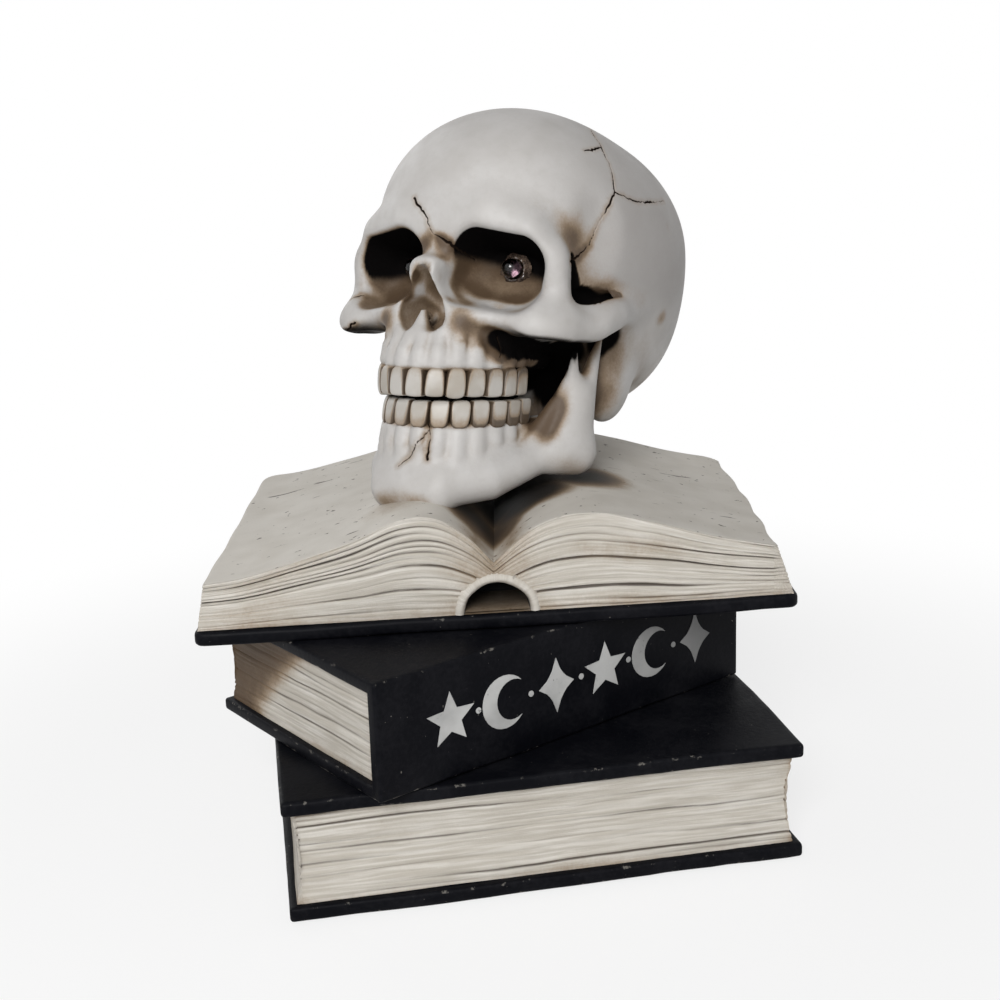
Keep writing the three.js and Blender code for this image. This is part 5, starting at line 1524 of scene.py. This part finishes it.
# Eye lamps: clear domed bodies with a metal cup inside, sunk in lumps of clear glue, both tinted dark as painted shade
# of the sockets

eyeLamp = {
    "radius": 2.5, "flangeRadius": 2.9, "flange": 1.0, "length": 8.6, "dome": 8.3, "gap": 0.3, "floor": 12.0,
    "soft": 0.15,
}
lampFoot = -(eyeLamp["dome"] + eyeLamp["length"] - eyeLamp["radius"]) + eyeLamp["gap"]
# Cup and post in the lamp: radius and height of the cup's profile, middle and size of the post
lampCup = [(0, 3.4), (0.85, 3.9), (0.95, 4.6), (1.05, 4.5), (0.95, 3.3), (0.35, 3.0), (0.3, 1.2), (0, 1.2)]
lampPost = ((1.35, 0, 2.7), (0.35, 0.5, 3.2))
glueBead = {
    "gap": 0.1, "sink": 0.2, "lump": 0.75, "swell": 0.1, "outside": [(4.2, -0.6), (4.3, 0.2), (3.9, 0.9), (3.4, 1.5)],
}


# Profile of radius and height turned about Z
def turnedShape(bm, profile, steps=32):
    verts, edges = openLine(bm, [(max(r, 0.0), 0, z) for r, z in profile])
    bmesh.ops.spin(
        bm, geom=verts + edges, cent=(0, 0, 0), axis=(0, 0, 1), angle=2 * math.pi, steps=steps, use_merge=True)
    bmesh.ops.remove_doubles(bm, verts=bm.verts, dist=1e-4)
    faceNormals(bm)


def makeLamp(side, label):
    r, flange, wide, soft = (eyeLamp[key] for key in ("radius", "flange", "flangeRadius", "soft"))
    profile = [(0, 0), (wide - soft, 0), (wide, soft), (wide, flange), (r, flange + 0.1)]
    dome = np.linspace(0, math.pi / 2, 9)[:-1]
    profile += [(r * math.cos(a), eyeLamp["length"] - r + r * math.sin(a)) for a in dome] + [(0, eyeLamp["length"])]
    where = lampMatrix(side) @ Matrix.Translation((0, 0, lampFoot))
    bm = bmesh.new()
    turnedShape(bm, profile)
    meshPiece(label + "EyeLamp", bm, where, lampGlass, label + "_eye_lamp", 50)
    bm = bmesh.new()
    turnedShape(bm, lampCup, 20)
    addBlock(bm, *lampPost)
    meshPiece(label + "EyeCup", bm, where, lampMetal, sharpAngle=40)


def makeGlue(side, label):
    look = glueBead
    bm = bmesh.new()
    inner, foot = eyeLamp["radius"] + look["gap"], -eyeLamp["floor"] + look["sink"]
    turnedShape(bm, [(inner, -0.6)] + look["outside"] + [(inner + 0.3, 1.9), (inner, 1.6), (inner, -0.6)], 40)
    bmesh.ops.subdivide_edges(bm, edges=bm.edges[:], cuts=1, use_grid_fill=True)
    for v in bm.verts:
        reach = math.hypot(v.co.x, v.co.y)
        if reach > inner + 0.2:
            lump = fractal.noise(v.co * 0.55 + Vector((side * 5.0, 0, 0)))
            lump += 0.5 * fractal.noise(v.co * 1.4 + Vector((0, side * 3.0, 0)))
            v.co.z += lump * look["lump"] * min(1.0, (reach - inner) / 1.2)
            v.co.x *= 1 + look["swell"] * lump
            v.co.y *= 1 + look["swell"] * lump
    where = lampMatrix(side) @ Matrix.Translation((0, 0, foot))
    meshPiece(label + "EyeGlue", bm, where, clearGlue, label + "_eye_glue")


# Dark tints of lamp and glue: painted shade of the sockets
lampFinish = {
    "haze": (900.0, 3.0, 0.5), "hazeSpan": (0.4, 0.7), "clear": paint(0.12, 0.075, 0.09),
    "hazed": paint(0.05, 0.03, 0.038), "rough": (0.02, 0.14), "through": 1.0, "bend": 1.5,
}
glueFinish = {
    "haze": (500.0, 4.0, 0.6), "hazeSpan": (0.38, 0.66), "clear": paint(0.2, 0.145, 0.11),
    "hazed": paint(0.035, 0.022, 0.018), "rough": (0.04, 0.28), "through": 0.45, "bend": 1.48,
    "lumps": (1400.0, 2.0, 0.5), "lump": 0.0003, "bump": 0.7,
}


# Clear resin: hazed or grimed, more or less see-through, tinted dark as painted shade
def makeClear(name, look):
    material, tree, shader, where = newMaterial(name)
    haze = cloud(tree, where, *look["haze"])
    feed(tree, shader, {
        "Base Color": mixColors(tree, soften(tree, haze, *look["hazeSpan"]), look["clear"], look["hazed"]),
        "Roughness": remap(tree, haze, *look["rough"]),
        "Transmission Weight": look["through"],
        "IOR": look["bend"],
    })
    if "lumps" in look:
        lumps = cloud(tree, where, *look["lumps"])
        feed(tree, shader, {"Normal": bumps(tree, lumps, look["lump"], look["bump"])})
    return material


roughAround = (-0.1, 0.15)  # least and most beside a given roughness
metalLook = {"stretch": (120.0, 2600.0, 2600.0), "lines": (1.0, 3.0, 0.6), "lineSpan": (0.35, 0.7), "darker": 0.6}
plasticLook = {"scuffs": (240.0, 6.0, 0.7), "scuffSpan": (0.56, 0.74), "scuffed": 0.6, "grain": 0.00008, "bump": 0.5}


# Metal: drawn lines along one axis and small changes of gloss
def makeMetal(name, color, rough):
    look = metalLook
    material, tree, shader, where = newMaterial(name)
    drawn = put(tree, "Mapping", {"Vector": where, "Scale": look["stretch"]})[0]
    lines = cloud(tree, drawn, *look["lines"])
    darker = paint(*(value * look["darker"] for value in color[:3]))
    feed(tree, shader, {
        "Base Color": mixColors(tree, soften(tree, lines, *look["lineSpan"]), color, darker),
        "Roughness": remap(tree, lines, *(rough + change for change in roughAround)),
        "Metallic": 1.0,
    })
    return material


# Moulded plastic and rubber: fine grain, small scuffs
def makePlastic(name, color, scuff, rough, scale=1500.0):
    look = plasticLook
    material, tree, shader, where = newMaterial(name)
    grain = grainOf(tree, where, scale)
    scuffs = soften(tree, cloud(tree, where, *look["scuffs"]), *look["scuffSpan"])
    least, most = (rough + change for change in roughAround)
    feed(tree, shader, {
        "Base Color": mixColors(tree, scuffs, paint(*color), paint(*scuff), look["scuffed"]),
        "Roughness": remap(tree, grain["Height"], least, most, grainSpan),
        "Normal": bumps(tree, grain["Height"], look["grain"], look["bump"]),
    })
    return material


lampGlass = makeClear("lampGlass", lampFinish)
clearGlue = makeClear("clearGlue", glueFinish)
lampMetal = makeMetal("lampMetal", paint(0.55, 0.55, 0.56), 0.25)
eyeSides = ((1, "right"), (-1, "left"))
for side, label in eyeSides:
    makeLamp(side, label)
    makeGlue(side, label)
print("eyes lit")


# Leads from the lamps, down the duct to the switch board

leadRun = {
    "radius": 0.8, "apart": 1.4, "endApart": 3, "hollow": (7.5, -1, 9.5), "duct": (74.0, 83.0), "ductTop": 134.0,
    "neckTop": 118.0, "pages": 65.6, "middle": 46.3, "well": 18.5, "end": (91.35, 56.8, 10.8),
}


def leadRoute(side):
    look = leadRun
    well = look["well"]
    toStack = Matrix.Translation(-stackCorner)

    def fromLamp(depth):
        return (toStack @ (lampMatrix(side) @ Vector((0, 0, lampFoot - eyeLamp["gap"] - depth)))) / mm

    x, y = look["duct"][0] + side * look["apart"], look["duct"][1]
    endX, endY, endZ = look["end"][0] + side * look["endApart"], look["end"][1], look["end"][2]
    hollowX, hollowY, hollowZ = look["hollow"]
    inHollow = (toStack @ (skullMatrix @ Vector((side * hollowX, hollowY, hollowZ)))) / mm
    return [
        fromLamp(0.3), fromLamp(8), fromLamp(18), inHollow,
        (x, y, look["ductTop"]), (x, y, look["neckTop"]), (x, y, look["pages"]), (x, y, look["middle"]),
        (x, y, well + 3), (x, y - 2, well - 3.4), ((x + endX) / 2, (y + endY) / 2, well - 3.2),
        (endX, endY + 2.4, well - 3), (endX, endY, endZ + 2), (endX, endY, endZ),
    ]


def makeLead(side, label):
    route = leadRoute(side)
    curve = bpy.data.curves.new(label + "EyeLead", "CURVE")
    curve.dimensions = "3D"
    curve.bevel_depth = leadRun["radius"] * mm
    curve.bevel_resolution = 3
    curve.use_fill_caps = True
    line = curve.splines.new("NURBS")
    line.points.add(len(route) - 1)
    line.use_endpoint_u = True
    line.order_u = 3
    for point, at in zip(line.points, route):
        point.co = (*(stackCorner + Vector(at) * mm), 1.0)
    curve.materials.append(leadSkin)
    declare(addObject(label + "EyeLead", curve), label + "_eye_lead")


leadSkin = makePlastic("leadSkin", (0.02, 0.02, 0.021), (0.05, 0.05, 0.05), 0.45)
for side, label in eyeSides:
    makeLead(side, label)


# Battery box and what is in it: CAD shapes with their own finishes

boxPlastic = makePlastic("boxPlastic", (0.012, 0.012, 0.0125), (0.035, 0.035, 0.036), 0.45)
sliderPlastic = makePlastic("sliderPlastic", (0.02, 0.02, 0.02), (0.06, 0.06, 0.06), 0.4)
springSteel = makeMetal("springSteel", paint(0.56, 0.56, 0.57), 0.3)
screwSteel = makeMetal("screwSteel", paint(0.46, 0.46, 0.47), 0.35)
circuitGreen = makePlastic("circuitGreen", (0.02, 0.10, 0.045), (0.03, 0.16, 0.07), 0.35, 700.0)
padFoam = makePlastic("padFoam", (0.012, 0.012, 0.012), (0.03, 0.03, 0.03), 0.85, 2600.0)
cellFinish = {
    "sleeve": paint(0.016, 0.03, 0.04), "band": paint(0.34, 0.25, 0.1), "scuff": paint(0.2, 0.2, 0.2),
    "bandSpan": (0.66, 0.95), "scuffs": (300.0, 5.0, 0.7), "scuffSpan": (0.55, 0.75), "scuffed": 0.3,
    "rough": (0.25, 0.45), "metal": 0.35,
}


# Cell wrap: dark sleeve with a pale band, along X
def makeCellWrap(name, low, high):
    look = cellFinish
    material, tree, shader, where = newMaterial(name)
    along = remap(tree, put(tree, "SeparateXYZ", {"Vector": where})["X"], 0.0, 1.0, (low, high))
    start, end = look["bandSpan"]
    band = multiply(tree, calc(tree, "GREATER_THAN", along, start), calc(tree, "LESS_THAN", along, end))
    scuffs = soften(tree, cloud(tree, where, *look["scuffs"]), *look["scuffSpan"])
    sleeve = mixColors(tree, band, look["sleeve"], look["band"])
    feed(tree, shader, {
        "Base Color": mixColors(tree, scuffs, sleeve, look["scuff"], look["scuffed"]),
        "Roughness": remap(tree, scuffs, *look["rough"]),
        "Metallic": look["metal"],
    })
    return material


def finishNodes(material, *nodes):
    for node in nodes:
        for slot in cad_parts[node].material_slots:
            slot.material = material


finishNodes(boxPlastic, "battery_box", "battery_door")
finishNodes(sliderPlastic, "switch_slider")
finishNodes(circuitGreen, "switch_board")
finishNodes(springSteel, "series_contact", "front_contact", "back_contact", "switch_housing")
finishNodes(screwSteel, *(f"box_screw_{n}" for n in range(1, 5)))
finishNodes(padFoam, *(f"foot_pad_{n}" for n in range(1, 5)))
for node in ("front_cell", "back_cell"):
    cellLow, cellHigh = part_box(node)
    finishNodes(makeCellWrap(node + "Wrap", cellLow[0], cellHigh[0]), node)
print("battery box finished")


# Floor and light

paleFloor = {"size": 6, "color": paint(0.86, 0.86, 0.86), "rough": 0.9, "glowSpan": (0.12, 0.32), "glow": (0.76, 1.0)}
studioLights = [
    ("keyLight", (-0.34, -0.9, 0.62), 0.5, 10.4),
    ("fillLight", (0.75, -0.65, 0.45), 0.9, 0.5),
    ("topLight", (0.1, 0.25, 1.1), 0.8, 0.8),
    ("backLight", (-0.45, 0.95, 0.6), 0.8, 2.2),
]
lightAim = Vector((0, 0, 0.1))
ambient = 0.14


# Rays that see a surface, as against those that light it
def seenBy(tree):
    rays = put(tree, "LightPath")
    return larger(tree, rays["Is Camera Ray"], larger(tree, rays["Is Glossy Ray"], rays["Is Transmission Ray"]))


def addFloor():
    look = paleFloor
    bm = bmesh.new()
    bmesh.ops.create_grid(bm, x_segments=1, y_segments=1, size=look["size"])
    mesh = bpy.data.meshes.new("floor")
    bm.to_mesh(mesh)
    bm.free()
    material, tree, shader, where = newMaterial("paleFloor")
    feed(tree, shader, {"Base Color": look["color"], "Roughness": look["rough"]})
    far = put(tree, "VectorMath", {0: where}, operation="LENGTH")["Value"]
    low, high = look["glow"]
    glow = add(tree, multiply(tree, soften(tree, far, *look["glowSpan"]), high - low), low)
    white = put(tree, "Emission", {"Strength": 1.0})[0]
    lit = put(tree, "MixShader", {0: multiply(tree, glow, seenBy(tree)), 1: shader.outputs[0], 2: white})[0]
    under = put(tree, "NewGeometry")["Backfacing"]  # seen through from below
    oneSided = put(tree, "MixShader", {0: under, 1: lit, 2: put(tree, "BsdfTransparent")[0]})[0]
    feed(tree, tree.nodes["Material Output"], {"Surface": oneSided})
    mesh.materials.append(material)
    floor = addObject("floor", mesh)


def addLights():
    world = bpy.data.worlds.new("studio")
    world.use_nodes = True
    scene.world = world
    tree = world.node_tree
    strength = add(tree, multiply(tree, seenBy(tree), 1.0 - ambient), ambient)
    feed(tree, tree.nodes["Background"], {"Color": paint(1, 1, 1), "Strength": strength})
    for name, at, size, power in studioLights:
        data = bpy.data.lights.new(name, "AREA")
        data.shape = "DISK"
        data.size = size
        data.energy = power
        aim = (lightAim - Vector(at)).to_track_quat("-Z", "Y").to_matrix().to_4x4()
        addObject(name, data).matrix_world = Matrix.Translation(at) @ aim


addFloor()
addLights()
scene.view_settings.view_transform = "Standard"
print("stage and lights ready")
